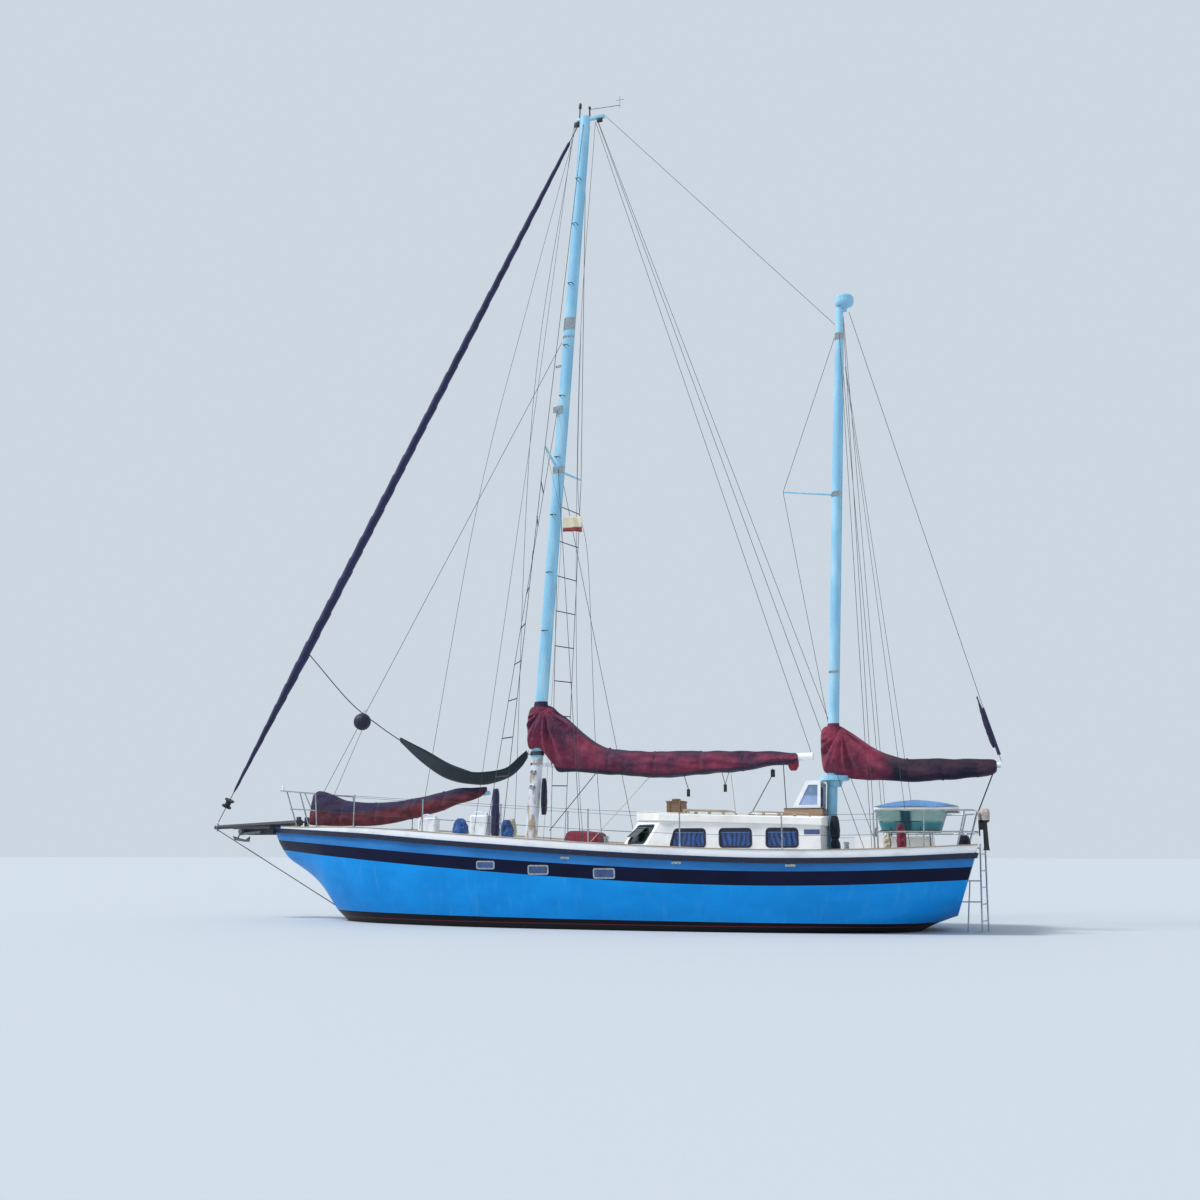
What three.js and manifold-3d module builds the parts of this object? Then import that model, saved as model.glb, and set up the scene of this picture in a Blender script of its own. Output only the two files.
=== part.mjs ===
// A long-keeled ketch yacht, 14 m on deck: hull, keel, deck, deckhouse, two masts with covered booms,
// and her main stays.
// The frame is millimetres, +X to the bow, +Y to port, +Z up, with the origin amidships on the waterline.
import * as THREE from "three";
import { mergeVertices } from "three/addons/utils/BufferGeometryUtils.js";
import Module from "manifold-3d";

const wasm = await Module();
wasm.setup();

// Driving dimensions. "aft" is measured from the stem head, "port" from the centreline, "up" from the waterline.
const HULL_LENGTH = 14000;
const MIDSHIP = HULL_LENGTH / 2;
const TRANSOM_RAKE = 0.35;
const TRANSOM_CURVE = 15;
const STERN_BLEND_FROM = 12400;
const SEAT_GAP = 0.5; // between a piece and what carries it
const DECK_EDGE = 70; // the deck stops this far inside the hull's side
const DECK_THICK = 30;
const DECK_CAMBER = { rise: 75, half: 1950 }; // the crown at this half breadth
const BULWARK_THICK = 50;
const BULWARK_INSET = 8;
const RAIL_OUT = 40;
const RAIL_DEEP = 88;
const KEEL_BOTTOM = -1900;

// Hull lines: distance aft, half breadth at the sheer, height of the sheer, height of the bottom,
// fullness of the sides (lower is fuller) and turn of the bilge (higher is harder).
const [AFT, BREADTH, SHEER, BOTTOM, FULLNESS, TURN] = [0, 1, 2, 3, 4, 5];
const HULL_LINES = [
  [0, 45, 1830, 1740, 1.3, 1.0],
  [130, 150, 1824, 1490, 1.3, 1.0],
  [350, 300, 1814, 1220, 1.3, 1.0],
  [630, 475, 1801, 1050, 1.3, 1.0],
  [940, 655, 1786, 865, 1.3, 1.0],
  [1220, 805, 1772, 645, 1.3, 1.0],
  [1460, 925, 1760, 385, 1.28, 1.0],
  [1700, 1035, 1747, 90, 1.24, 1.0],
  [2300, 1260, 1714, -290, 1.12, 1.02],
  [3000, 1480, 1672, -470, 0.98, 1.08],
  [4500, 1800, 1558, -660, 0.8, 1.16],
  [6000, 1960, 1456, -750, 0.73, 1.2],
  [7500, 2020, 1362, -780, 0.71, 1.2],
  [9000, 2010, 1288, -750, 0.71, 1.2],
  [10500, 1920, 1242, -640, 0.74, 1.18],
  [12000, 1760, 1248, -380, 0.8, 1.12],
  [13000, 1600, 1280, -90, 0.84, 1.06],
  [14000, 1400, 1325, 250, 0.86, 1.0],
];
const STATIONS = [
  0, 60, 130, 240, 350, 490, 630, 780, 940, 1080, 1220, 1460, 1700, 2000, 2300, 2650, 3000, 3500, 4000, 4500,
  5250, 6000, 6750, 7500, 8250, 9000, 9750, 10500, 11250, 12000, 12500, 13000, 13350, 13700, 14000,
];
const SIDE_STEPS = 11;

// Height, width and speed of a value between the rows of a table, as one fair curve.
function fair(rows, column, aft) {
  const last = rows.length - 1;
  let row = rows.findIndex((r) => r[AFT] > aft) - 1;
  if (row < 0) row = aft <= rows[0][AFT] ? 0 : last - 1;
  const slope = (i) => {
    const a = rows[Math.max(i - 1, 0)];
    const b = rows[Math.min(i + 1, last)];
    return (b[column] - a[column]) / (b[AFT] - a[AFT]);
  };
  const span = rows[row + 1][AFT] - rows[row][AFT];
  const u = (aft - rows[row][AFT]) / span;
  const [u2, u3] = [u * u, u * u * u];
  return (
    rows[row][column] * (2 * u3 - 3 * u2 + 1) +
    rows[row + 1][column] * (3 * u2 - 2 * u3) +
    span * slope(row) * (u3 - 2 * u2 + u) +
    span * slope(row + 1) * (u3 - u2)
  );
}

const halfBreadth = (aft) => fair(HULL_LINES, BREADTH, aft);
const sheerUp = (aft) => fair(HULL_LINES, SHEER, aft);
const place = (aft, port, up) => new THREE.Vector3(MIDSHIP - aft, port, up);

// A point of the hull or of what follows it, leaned and rounded as the transom is towards the stern.
function onHull(aft, port, up) {
  const stern = THREE.MathUtils.smoothstep(aft, STERN_BLEND_FROM, HULL_LENGTH);
  const lean = TRANSOM_RAKE * stern * (sheerUp(aft) - up);
  const round = TRANSOM_CURVE * stern * (port / halfBreadth(aft)) ** 2;
  return place(aft - lean - round, port, up);
}

const deckHalf = (aft) => halfBreadth(aft) - DECK_EDGE;
function deckUp(aft, port = 0) {
  const crown = DECK_CAMBER.rise * (deckHalf(aft) / DECK_CAMBER.half) ** 2;
  return sheerUp(aft) + DECK_THICK + crown * (1 - (port / deckHalf(aft)) ** 2);
}

// Shape helpers.
function volumeOf(points, faces) {
  let total = 0;
  for (let i = 0; i < faces.length; i += 3) {
    const [a, b, c] = [points[faces[i]], points[faces[i + 1]], points[faces[i + 2]]];
    total += a.dot(b.clone().cross(c)) / 6;
  }
  return total;
}

// A skin over rings of equally many points, closed by a cap at each end.
function loft(rings) {
  const around = rings[0].length;
  const points = rings.flat();
  const faces = [];
  for (let r = 0; r < rings.length - 1; r++)
    for (let i = 0; i < around; i++) {
      const a = r * around + i;
      const b = r * around + ((i + 1) % around);
      faces.push(a, b, b + around, a, b + around, a + around);
    }
  const ends = [[rings[0], 0, true], [rings.at(-1), (rings.length - 1) * around, false]];
  for (const [ring, first, turned] of ends) {
    const middle = ring.reduce((sum, p) => sum.add(p), new THREE.Vector3()).divideScalar(around);
    const hub = points.push(middle) - 1;
    for (let i = 0; i < around; i++) {
      const [a, b] = [first + i, first + ((i + 1) % around)];
      faces.push(...(turned ? [hub, b, a] : [hub, a, b]));
    }
  }
  if (volumeOf(points, faces) < 0)
    for (let i = 0; i < faces.length; i += 3) [faces[i + 1], faces[i + 2]] = [faces[i + 2], faces[i + 1]];
  const geometry = new THREE.BufferGeometry().setFromPoints(points);
  geometry.setIndex(faces);
  return geometry;
}

function box(aft0, aft1, port0, port1, up0, up1) {
  const geometry = new THREE.BoxGeometry(aft1 - aft0, port1 - port0, up1 - up0);
  const middle = place((aft0 + aft1) / 2, (port0 + port1) / 2, (up0 + up1) / 2);
  return geometry.translate(middle.x, middle.y, middle.z);
}

// A round bar from a to b, tapering from one radius to the other.
function rod(a, b, radius, sides = 8, radiusAtB = radius) {
  const along = b.clone().sub(a);
  const turn = new THREE.Quaternion().setFromUnitVectors(new THREE.Vector3(0, 1, 0), along.clone().normalize());
  const middle = a.clone().add(b).divideScalar(2);
  return new THREE.CylinderGeometry(radiusAtB, radius, along.length(), sides).applyQuaternion(turn)
    .translate(middle.x, middle.y, middle.z);
}

// A tube bent along points, with one ring of the section at each.
function bentTube(points, radius, sides = 8) {
  let normal = new THREE.Vector3();
  const rings = points.map((p, i) => {
    const before = points[Math.max(i - 1, 0)];
    const after = points[Math.min(i + 1, points.length - 1)];
    const along = after.clone().sub(before).normalize();
    if (i === 0) normal = Math.abs(along.z) > 0.9 ? new THREE.Vector3(0, 1, 0) : new THREE.Vector3(0, 0, 1);
    normal = normal.clone().addScaledVector(along, -normal.dot(along)).normalize();
    const side = along.clone().cross(normal);
    return Array.from({ length: sides }, (_, k) => {
      const angle = (2 * Math.PI * k) / sides;
      return p.clone().addScaledVector(normal, radius * Math.cos(angle))
        .addScaledVector(side, radius * Math.sin(angle));
    });
  });
  return loft(rings);
}

// A turned piece: profile of [radius, distance along the axis], set at a foot and along a direction.
function turned(profile, foot, axis, sides = 16) {
  const geometry = new THREE.LatheGeometry(profile.map(([r, h]) => new THREE.Vector2(r, h)), sides);
  const turn = new THREE.Quaternion().setFromUnitVectors(new THREE.Vector3(0, 1, 0), axis.clone().normalize());
  return geometry.applyQuaternion(turn).translate(foot.x, foot.y, foot.z);
}

// An outline in the centreline plane, [aft, up] by [aft, up], given a width from port0 to port1.
function slab(outline, port0, port1) {
  const shape = new THREE.Shape(outline.map(([aft, up]) => new THREE.Vector2(MIDSHIP - aft, up)));
  return new THREE.ExtrudeGeometry(shape, { depth: port1 - port0, bevelEnabled: false })
    .rotateX(Math.PI / 2).translate(0, port1, 0);
}

// Solids to join and cut.
function solid(geometry) {
  const bare = geometry.index ? geometry.toNonIndexed() : geometry.clone();
  bare.deleteAttribute("normal");
  bare.deleteAttribute("uv");
  const merged = mergeVertices(bare, 1e-3);
  const mesh = new wasm.Mesh({
    numProp: 3,
    vertProperties: merged.attributes.position.array,
    triVerts: new Uint32Array(merged.index.array),
  });
  return new wasm.Manifold(mesh);
}
const join = (...shapes) => shapes.map(asSolid).reduce((a, b) => a.add(b));
const cut = (shape, ...tools) => tools.reduce((made, tool) => made.subtract(asSolid(tool)), asSolid(shape));
const asSolid = (shape) => (shape.isBufferGeometry ? solid(shape) : shape);
const lifted = (shape, up) => asSolid(shape).translate([0, 0, up]);

function asGeometry(shape) {
  if (shape.isBufferGeometry) return shape;
  const mesh = shape.getMesh();
  const geometry = new THREE.BufferGeometry();
  geometry.setAttribute("position", new THREE.BufferAttribute(mesh.vertProperties, 3));
  geometry.setIndex(new THREE.BufferAttribute(mesh.triVerts, 1));
  return geometry;
}

// Finishes.
const finish = (color, roughness, metalness = 0) =>
  new THREE.MeshStandardMaterial({ color, roughness, metalness });
const AZURE = finish(0x1a86cf, 0.3);
const NAVY = finish(0x14204a, 0.4);
const WHITE = finish(0xf1f0ea, 0.4);
const DECK_PAINT = finish(0xd8d5c8, 0.8);
const ANTIFOUL = finish(0x1b1f27, 0.9);
const SPAR_PAINT = finish(0x8cc8e0, 0.35);
const STAINLESS = finish(0xb9bec2, 0.3, 1);
const WIRE = finish(0x8b9094, 0.4, 1);
const BRONZE = finish(0xa8743c, 0.4, 1);
const GALVANISED = finish(0x7c8287, 0.6, 0.9);
const MAROON = finish(0x6f1d32, 0.9);
const GENOA_BLUE = finish(0x1c1c3c, 0.9);
const GREEN_CLOTH = finish(0x12302c, 0.95);
const GREY_CLOTH = finish(0x7f9c9c, 0.9);
const GLASS = finish(0x22324a, 0.05);
const TEAK = finish(0x9a6c3c, 0.7);
const BLACK_PLASTIC = finish(0x111316, 0.6);

const yacht = new THREE.Group();
yacht.name = "ketch";
function add(name, shape, material) {
  const mesh = new THREE.Mesh(asGeometry(shape), material);
  mesh.name = name;
  yacht.add(mesh);
  return shape;
}

// Hull: solid under the deck, with a well for the cockpit's feet.
const WELL = { fore: 12050, aft: 13200, half: 450, floor: 450 };
function hullRing(aft) {
  const [breadth, sheer, bottom] = [halfBreadth(aft), sheerUp(aft), fair(HULL_LINES, BOTTOM, aft)];
  const [fullness, turn] = [fair(HULL_LINES, FULLNESS, aft), fair(HULL_LINES, TURN, aft)];
  const side = Array.from({ length: SIDE_STEPS }, (_, i) => {
    const angle = ((i + 1) / SIDE_STEPS) * (Math.PI / 2);
    return [breadth * Math.sin(angle) ** fullness, bottom + (sheer - bottom) * (1 - Math.cos(angle)) ** turn];
  });
  const across = [0.5, 0, -0.5].map((f) => [f * breadth, sheer]);
  const other = side.toReversed().map(([port, up]) => [-port, up]);
  return [[0, bottom], ...side, ...across, ...other].map(([port, up]) => onHull(aft, port, up));
}
const hullBody = solid(loft(STATIONS.map(hullRing)));
const well = box(WELL.fore, WELL.aft, -WELL.half, WELL.half, WELL.floor, 2000);
// The hull's stern is a solid of its own, which closes the well from behind.
const JOINT = { fore: -500, aft: 14600, half: 2500, low: -1500, high: 2500 };
const joined = (aft0, aft1) => box(aft0, aft1, -JOINT.half, JOINT.half, JOINT.low, JOINT.high);
add("hull", cut(hullBody, well, joined(WELL.aft, JOINT.aft)), AZURE);
add("hull_stern", cut(hullBody, joined(JOINT.fore, WELL.aft + SEAT_GAP)), AZURE);
const hullAbove = lifted(hullBody, SEAT_GAP);

// Deck: a cambered plate inside the bulwarks.
const DECK_FORE = 300;
const DECK_AFT = 13920;
const deckStations = [DECK_FORE, ...STATIONS.filter((aft) => aft > DECK_FORE && aft < DECK_AFT), DECK_AFT];
function deckRing(aft, under, raise) {
  const top = [-1, -0.6, -0.2, 0.2, 0.6, 1].map((f) => {
    const port = f * deckHalf(aft);
    return onHull(aft, port, deckUp(aft, port) + raise);
  });
  return [onHull(aft, deckHalf(aft), under), onHull(aft, -deckHalf(aft), under), ...top];
}
const deckPlate = cut(loft(deckStations.map((aft) => deckRing(aft, sheerUp(aft) - 30, 0))), hullAbove);
add("deck", cut(deckPlate, well), DECK_PAINT);
// Everything that stands on the deck is cut by this block, which is the deck raised by the seat gap.
const deckBlock = solid(loft(deckStations.map((aft) => deckRing(aft, 0, SEAT_GAP))));
const onDeck = (shape) => cut(shape, deckBlock);

// Bulwarks in three lengths, with the stanchions that stand in them, and the rubbing rail outside.
const BULWARK_FORE = 240;
const BULWARK_AFT = 13990;
const BULWARK_HIGH = 120;
// Height of the bulwark along the sheer, which is low at the stem.
const BULWARK_TOPS = [[0, 25], [1200, 45], [2300, 90], [4500, BULWARK_HIGH], [HULL_LENGTH, BULWARK_HIGH]];
const bulwarkHigh = (aft) => fair(BULWARK_TOPS, 1, aft);
const STANCHION = { radius: 13, high: 720, at: [2500, 4150, 5800, 7480, 9130, 10870, 12380] };
const betweenStations = STATIONS.filter((aft) => aft > BULWARK_FORE && aft < BULWARK_AFT);
const sideStations = [BULWARK_FORE, ...betweenStations, BULWARK_AFT];
const bulwarkMiddle = (aft) => halfBreadth(aft) - BULWARK_INSET - BULWARK_THICK / 2;
function stripRing(aft, side, outer, inner, low, high) {
  const breadth = halfBreadth(aft);
  const sheer = sheerUp(aft);
  return [[outer, low], [outer, high], [inner, high], [inner, low]]
    .map(([out, up]) => onHull(aft, side * (breadth + out), sheer + up));
}
for (const [side, name] of [[1, "port"], [-1, "starboard"]]) {
  const strake = loft(sideStations.map((aft) =>
    stripRing(aft, side, -BULWARK_INSET, -BULWARK_INSET - BULWARK_THICK, SEAT_GAP, bulwarkHigh(aft))));
  const posts = STANCHION.at.map((aft) => {
    const foot = place(aft, side * bulwarkMiddle(aft), sheerUp(aft) + 40);
    return rod(foot, foot.clone().setZ(sheerUp(aft) + STANCHION.high), STANCHION.radius);
  });
  add(`bulwark_${name}`, join(strake, ...posts), WHITE);
}
const STERN_HALF = halfBreadth(HULL_LENGTH) - BULWARK_INSET - BULWARK_THICK - 20;
function sternStrip(half, inner, outer, low, high) {
  return loft([-1, -0.75, -0.5, -0.25, 0, 0.25, 0.5, 0.75, 1].map((f) =>
    [[inner, low], [outer, low], [outer, high], [inner, high]].map(([out, up]) => {
      const at = onHull(HULL_LENGTH, f * half, sheerUp(HULL_LENGTH) + up);
      return at.setX(at.x - out);
    })));
}
const sternStrake =
  sternStrip(STERN_HALF, -BULWARK_INSET - BULWARK_THICK, -BULWARK_INSET, SEAT_GAP, BULWARK_HIGH);
add("bulwark_stern", sternStrake, WHITE);
const RAIL_FORE = 60;
const railStations = [RAIL_FORE, ...STATIONS.filter((aft) => aft > RAIL_FORE), HULL_LENGTH + RAIL_OUT];
const railSides = [1, -1].map((side) =>
  loft(railStations.map((aft) => stripRing(aft, side, RAIL_OUT, 1, -RAIL_DEEP - 5, -5))));
const railStern = sternStrip(halfBreadth(HULL_LENGTH) + 20, 2, RAIL_OUT, -RAIL_DEEP - 5, -5);
add("rub_rail", join(...railSides, railStern), NAVY);

// Keel, rudder and propeller.
// Keel sections: height, leading edge and half thickness.
const KEEL_SECTIONS = [
  [KEEL_BOTTOM, 5700, 130],
  [-1600, 4700, 150],
  [-1200, 3800, 160],
  [-800, 3050, 180],
  [-400, 2500, 230],
  [-60, 2150, 300],
];
const STERNPOST = { lowAft: 11250, slope: 0.514 }; // the keel's raked after edge
const sternpostAft = (up) => STERNPOST.lowAft + (up - KEEL_BOTTOM) * STERNPOST.slope;
function foil(aft0, aft1, half, up) {
  const chord = [[0, 0.12], [0.08, 0.6], [0.3, 1], [0.7, 0.85], [1, 0.25]];
  const port = chord.map(([f, w]) => place(aft0 + f * (aft1 - aft0), w * half, up));
  const starboard = chord.toReversed().map(([f, w]) => place(aft0 + f * (aft1 - aft0), -w * half, up));
  return [...port, ...starboard];
}
const SHAFT = { up: -950, aft: 11560, aperture: 290, keelEnd: 11380 };
const aperture = box(SHAFT.keelEnd, 12500, -400, 400, SHAFT.up - SHAFT.aperture, SHAFT.up + SHAFT.aperture);
const keelBody = loft(KEEL_SECTIONS.map(([up, aft, half]) => foil(aft, sternpostAft(up), half, up)));
const shaft = rod(place(SHAFT.keelEnd - 60, 0, SHAFT.up), place(SHAFT.aft - 76, 0, SHAFT.up), 20, 10);
add("keel", join(cut(keelBody, lifted(hullBody, -SEAT_GAP), aperture), shaft), ANTIFOUL);

const RUDDER = {
  gap: 70, chordLow: 620, chordHigh: 760, low: -1850, high: -440, head: -460, half: 55, stock: 38,
};
const rudderAxisAft = (up) => sternpostAft(up) + RUDDER.gap;
const rudderChords = [[RUDDER.low, RUDDER.chordLow], [-1300, 740], [-900, RUDDER.chordHigh], [RUDDER.high, 640]];
const rudderBlade = loft(rudderChords.map(([up, chord]) =>
  foil(rudderAxisAft(up) - 30, rudderAxisAft(up) + chord, RUDDER.half, up)));
const rudderStock = rod(place(rudderAxisAft(RUDDER.low + 20), 0, RUDDER.low + 20),
  place(rudderAxisAft(RUDDER.head), 0, RUDDER.head), RUDDER.stock, 10);
add("rudder", join(rudderBlade, rudderStock), ANTIFOUL);

const PROPELLER = { radius: 230, hub: 48, blade: 150, thick: 14, blades: 3, pitch: 0.6 };
const hubProfile = [
  [0, -70], [PROPELLER.hub * 0.9, -70], [PROPELLER.hub, 0], [PROPELLER.hub * 0.7, 60], [0, 90],
];
const hub = turned(hubProfile, place(SHAFT.aft, 0, SHAFT.up), new THREE.Vector3(-1, 0, 0), 12);
const blades = Array.from({ length: PROPELLER.blades }, (_, i) => {
  const reach = PROPELLER.radius - PROPELLER.blade * 0.68;
  return new THREE.CylinderGeometry(PROPELLER.blade / 2, PROPELLER.blade / 2, PROPELLER.thick, 12)
    .scale(1, 1, 1.35).rotateZ(Math.PI / 2 + PROPELLER.pitch).translate(0, 0, reach)
    .rotateX((i * 2 * Math.PI) / PROPELLER.blades).translate(MIDSHIP - SHAFT.aft, 0, SHAFT.up);
});
add("propeller", join(hub, ...blades), BRONZE);

// Masts. The mizzen stands in a notch of the deckhouse's after wall and roof.
// Sections up a mast: share of its length, half length fore and aft, half width.
function mast(foot, head, sections, sides = 16) {
  const rings = sections.map(([share, fore, wide]) => {
    const middle = foot.clone().lerp(head, share);
    return Array.from({ length: sides }, (_, i) => {
      const angle = (2 * Math.PI * i) / sides;
      return middle.clone().add(new THREE.Vector3(fore * Math.cos(angle), wide * Math.sin(angle), 0));
    });
  });
  return loft(rings);
}
const MAIN_FOOT = place(5670, 0, 1400);
const MAIN_HEAD = place(6755, 0, 17130);
const MIZZEN_FOOT = place(11480, 0, 1300);
const MIZZEN_HEAD = place(12055, 0, 11880);
const MAIN_SECTIONS = [[0, 125, 88], [1, 118, 84]];
const MIZZEN_SECTIONS = [[0, 95, 88], [0.75, 95, 88], [1, 75, 66]];
const mastAt = (foot, head, up) => foot.clone().lerp(head, (up - foot.z) / (head.z - foot.z));
const mainAt = (up) => mastAt(MAIN_FOOT, MAIN_HEAD, up);
const mizzenAt = (up) => mastAt(MIZZEN_FOOT, MIZZEN_HEAD, up);
const aftOf = (point) => MIDSHIP - point.x;
// What goes round a mast is cut by the mast's section, this much larger.
const MAST_GAP = 3;
const mastCutter = (foot, head, [[, fore, wide]]) =>
  mast(foot, head, [0, 1].map((share) => [share, fore + MAST_GAP, wide + MAST_GAP]));
const mainNotch = mastCutter(MAIN_FOOT, MAIN_HEAD, MAIN_SECTIONS);
const mizzenNotch = mastCutter(MIZZEN_FOOT, MIZZEN_HEAD, MIZZEN_SECTIONS);

// Deckhouse: walls with their windows, a cambered roof, and the glazing inside.
const HOUSE = {
  wall: 50, low: 1200, eaveFore: 1905, eaveAft: 1790, aft: 11450, half: 1300,
  noseLow: 7700, noseHigh: 8060, noseHalf: 700, shoulderLow: 8300, shoulderHigh: 8630,
};
const eaveUp = (aft) =>
  HOUSE.eaveFore + ((aft - HOUSE.noseHigh) / (HOUSE.aft - HOUSE.noseHigh)) * (HOUSE.eaveAft - HOUSE.eaveFore);
// The walls' outline at a level: nose, shoulders and after corners, moved in by the wall for the inside.
function houseRing(level, inset, up) {
  const nose = THREE.MathUtils.lerp(HOUSE.noseLow, HOUSE.noseHigh, level) + inset * 1.1;
  const shoulder = THREE.MathUtils.lerp(HOUSE.shoulderLow, HOUSE.shoulderHigh, level) + inset * 0.5;
  const [noseHalf, half, aft] = [HOUSE.noseHalf - inset * 0.45, HOUSE.half - inset, HOUSE.aft - inset];
  const corners = [[nose, noseHalf], [shoulder, half], [aft, half]];
  const outline = [...corners, ...corners.toReversed().map(([a, port]) => [a, -port])];
  return outline.map(([a, port]) => place(a, port, up(a)));
}
const HOUSE_FOOT = 1370;
const levelOf = (up) => (up - HOUSE_FOOT) / (HOUSE.eaveFore - HOUSE_FOOT);
const wallsOuter = loft([houseRing(levelOf(HOUSE.low), 0, () => HOUSE.low), houseRing(1, 0, eaveUp)]);
const wallsInner = loft([
  houseRing(levelOf(HOUSE.low), HOUSE.wall, () => HOUSE.low - 1), houseRing(1, HOUSE.wall, (a) => eaveUp(a) + 1),
]);
// Side windows: forward edge low, forward edge high, after edge.
const SIDE_WINDOWS = [[8800, 8890, 9420], [9700, 9700, 10240], [10520, 10530, 11050]];
const WINDOW = { low: 1430, high: 1725, corner: 40 };
function windowCutter([foreLow, foreHigh, aft], side) {
  const c = WINDOW.corner;
  const outline = [
    [foreLow + c, WINDOW.low], [aft - c, WINDOW.low], [aft, WINDOW.low + c], [aft, WINDOW.high - c],
    [aft - c, WINDOW.high], [foreHigh + c, WINDOW.high], [foreHigh, WINDOW.high - c], [foreLow, WINDOW.low + c],
  ];
  return side > 0 ? slab(outline, 1000, 1500) : slab(outline, -1500, -1000);
}
// Window in the slanted quarter, leaned along the wall by its skew for each unit up.
const QUARTER = { aft: 8180, port: 1000, up: 1650, long: 600, high: 300, turn: 0.798, skew: 0.45 };
function quarterCutter(side) {
  return new THREE.BoxGeometry(QUARTER.long, 500, QUARTER.high)
    .applyMatrix4(new THREE.Matrix4().makeShear(0, 0, 0, 0, QUARTER.skew, 0))
    .rotateZ(side * (Math.PI - QUARTER.turn)).translate(MIDSHIP - QUARTER.aft, side * QUARTER.port, QUARTER.up);
}
const NOSE_WINDOW = { port0: 60, port1: 610, low: 1570, high: 1800 };
const noseCutters = [1, -1].map((side) => {
  const ports = [side * NOSE_WINDOW.port0, side * NOSE_WINDOW.port1].toSorted((a, b) => a - b);
  return box(7600, 8250, ...ports, NOSE_WINDOW.low, NOSE_WINDOW.high);
});
add("deckhouse", onDeck(cut(wallsOuter, wallsInner, mizzenNotch, ...[1, -1].flatMap((side) =>
  [quarterCutter(side), ...SIDE_WINDOWS.map((w) => windowCutter(w, side))]), ...noseCutters)), WHITE);
for (const [side, name] of [[1, "port"], [-1, "starboard"]]) {
  const face = side * (HOUSE.half - HOUSE.wall - 6);
  const ports = [face - 5, face + 5];
  add(`side_glazing_${name}`, slab([[8760, 1405], [11150, 1405], [11150, 1765], [8840, 1765]], ...ports), GLASS);
}

// Roof, its hatch and the companionway's coaming and hood.
const ROOF = { thick: 115, crown: 65, half: 1340, nose: 8020, noseHalf: 710, shoulder: 8600, aft: 11480 };
const HATCH = { fore: 10100, aft: 10660, half: 290, thick: 45, lift: 7, holeEdge: 60 };
const COMPANION = { fore: 10720, aft: 11400, half: 470, wall: 45, high: 2110 };
const roofHalf = (aft) => Math.min(ROOF.half,
  THREE.MathUtils.mapLinear(aft, ROOF.nose, ROOF.shoulder, ROOF.noseHalf, ROOF.half));
const roofUp = (aft, port = 0) =>
  eaveUp(aft) + SEAT_GAP + ROOF.thick + ROOF.crown * (1 - (port / ROOF.half) ** 2);
const roofRing = (aft, under, raise) => {
  const half = roofHalf(aft);
  const top = [-1, -0.8, -0.5, -0.2, 0.2, 0.5, 0.8, 1].map((f) =>
    place(aft, f * half, roofUp(aft, f * half) + raise));
  return [place(aft, half, under), place(aft, -half, under), ...top];
};
const roofStations = [ROOF.nose, ROOF.shoulder, 10000, ROOF.aft];
// Everything that stands on the roof is cut by this block, which is the roof raised by the seat gap.
const roofBlock = solid(loft(roofStations.map((aft) => roofRing(aft, HOUSE.low, SEAT_GAP))));
const onRoof = (shape) => cut(shape, roofBlock);
const hatchHole = box(HATCH.fore + HATCH.holeEdge, HATCH.aft - HATCH.holeEdge, -HATCH.half + HATCH.holeEdge,
  HATCH.half - HATCH.holeEdge, 1700, 2300);
const companionHole = box(COMPANION.fore + COMPANION.wall, COMPANION.aft - COMPANION.wall,
  -COMPANION.half + COMPANION.wall, COMPANION.half - COMPANION.wall, 1700, 2300);
const roofSolid = loft(roofStations.map((aft) => roofRing(aft, eaveUp(aft) + SEAT_GAP, 0)));
add("deckhouse_roof", cut(roofSolid, hatchHole, companionHole, mizzenNotch), WHITE);
const hatchRing = (aft) => [[HATCH.half, HATCH.lift], [HATCH.half, HATCH.thick], [-HATCH.half, HATCH.thick],
  [-HATCH.half, HATCH.lift]].map(([port, up]) => place(aft, port, roofUp(aft) + up));
add("roof_hatch", loft([HATCH.fore, HATCH.aft].map(hatchRing)), WHITE);

const companionBlock = box(COMPANION.fore, COMPANION.aft, -COMPANION.half, COMPANION.half, 1850, COMPANION.high);
add("companion_coaming", onRoof(cut(companionBlock, companionHole)), TEAK);
const HOOD = { half: 440, wall: 25, frame: 55, low: COMPANION.high + SEAT_GAP, high: 2600 };
const hoodOutline = (inset, open) => [
  [10860 + inset * 1.2, HOOD.low - open], [11125 + inset * 0.6, HOOD.high - inset],
  [11385 + open, HOOD.high - inset], [11365 + open, HOOD.low - open],
];
const hoodShell = cut(slab(hoodOutline(0, 0), -HOOD.half, HOOD.half),
  slab(hoodOutline(HOOD.wall, 20), -HOOD.half + HOOD.wall, HOOD.half - HOOD.wall));
const hoodSide = slab([[10975, HOOD.low + HOOD.frame], [11165, HOOD.high - HOOD.frame - 20],
  [11330, HOOD.high - HOOD.frame - 20], [11315, HOOD.low + HOOD.frame]], -600, 600);
const hoodFront = box(10700, 11105, -HOOD.half + HOOD.frame + 20, HOOD.half - HOOD.frame - 20,
  HOOD.low + HOOD.frame, HOOD.high - HOOD.frame - 30);
add("companion_hood", cut(hoodShell, hoodSide, hoodFront), WHITE);
const ROOF_BOX = { fore: 8590, aft: 8890, port0: 350, port1: 700, high: 2235 };
add("roof_box", onRoof(box(ROOF_BOX.fore, ROOF_BOX.aft, ROOF_BOX.port0, ROOF_BOX.port1, 1900, ROOF_BOX.high)),
  TEAK);

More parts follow.
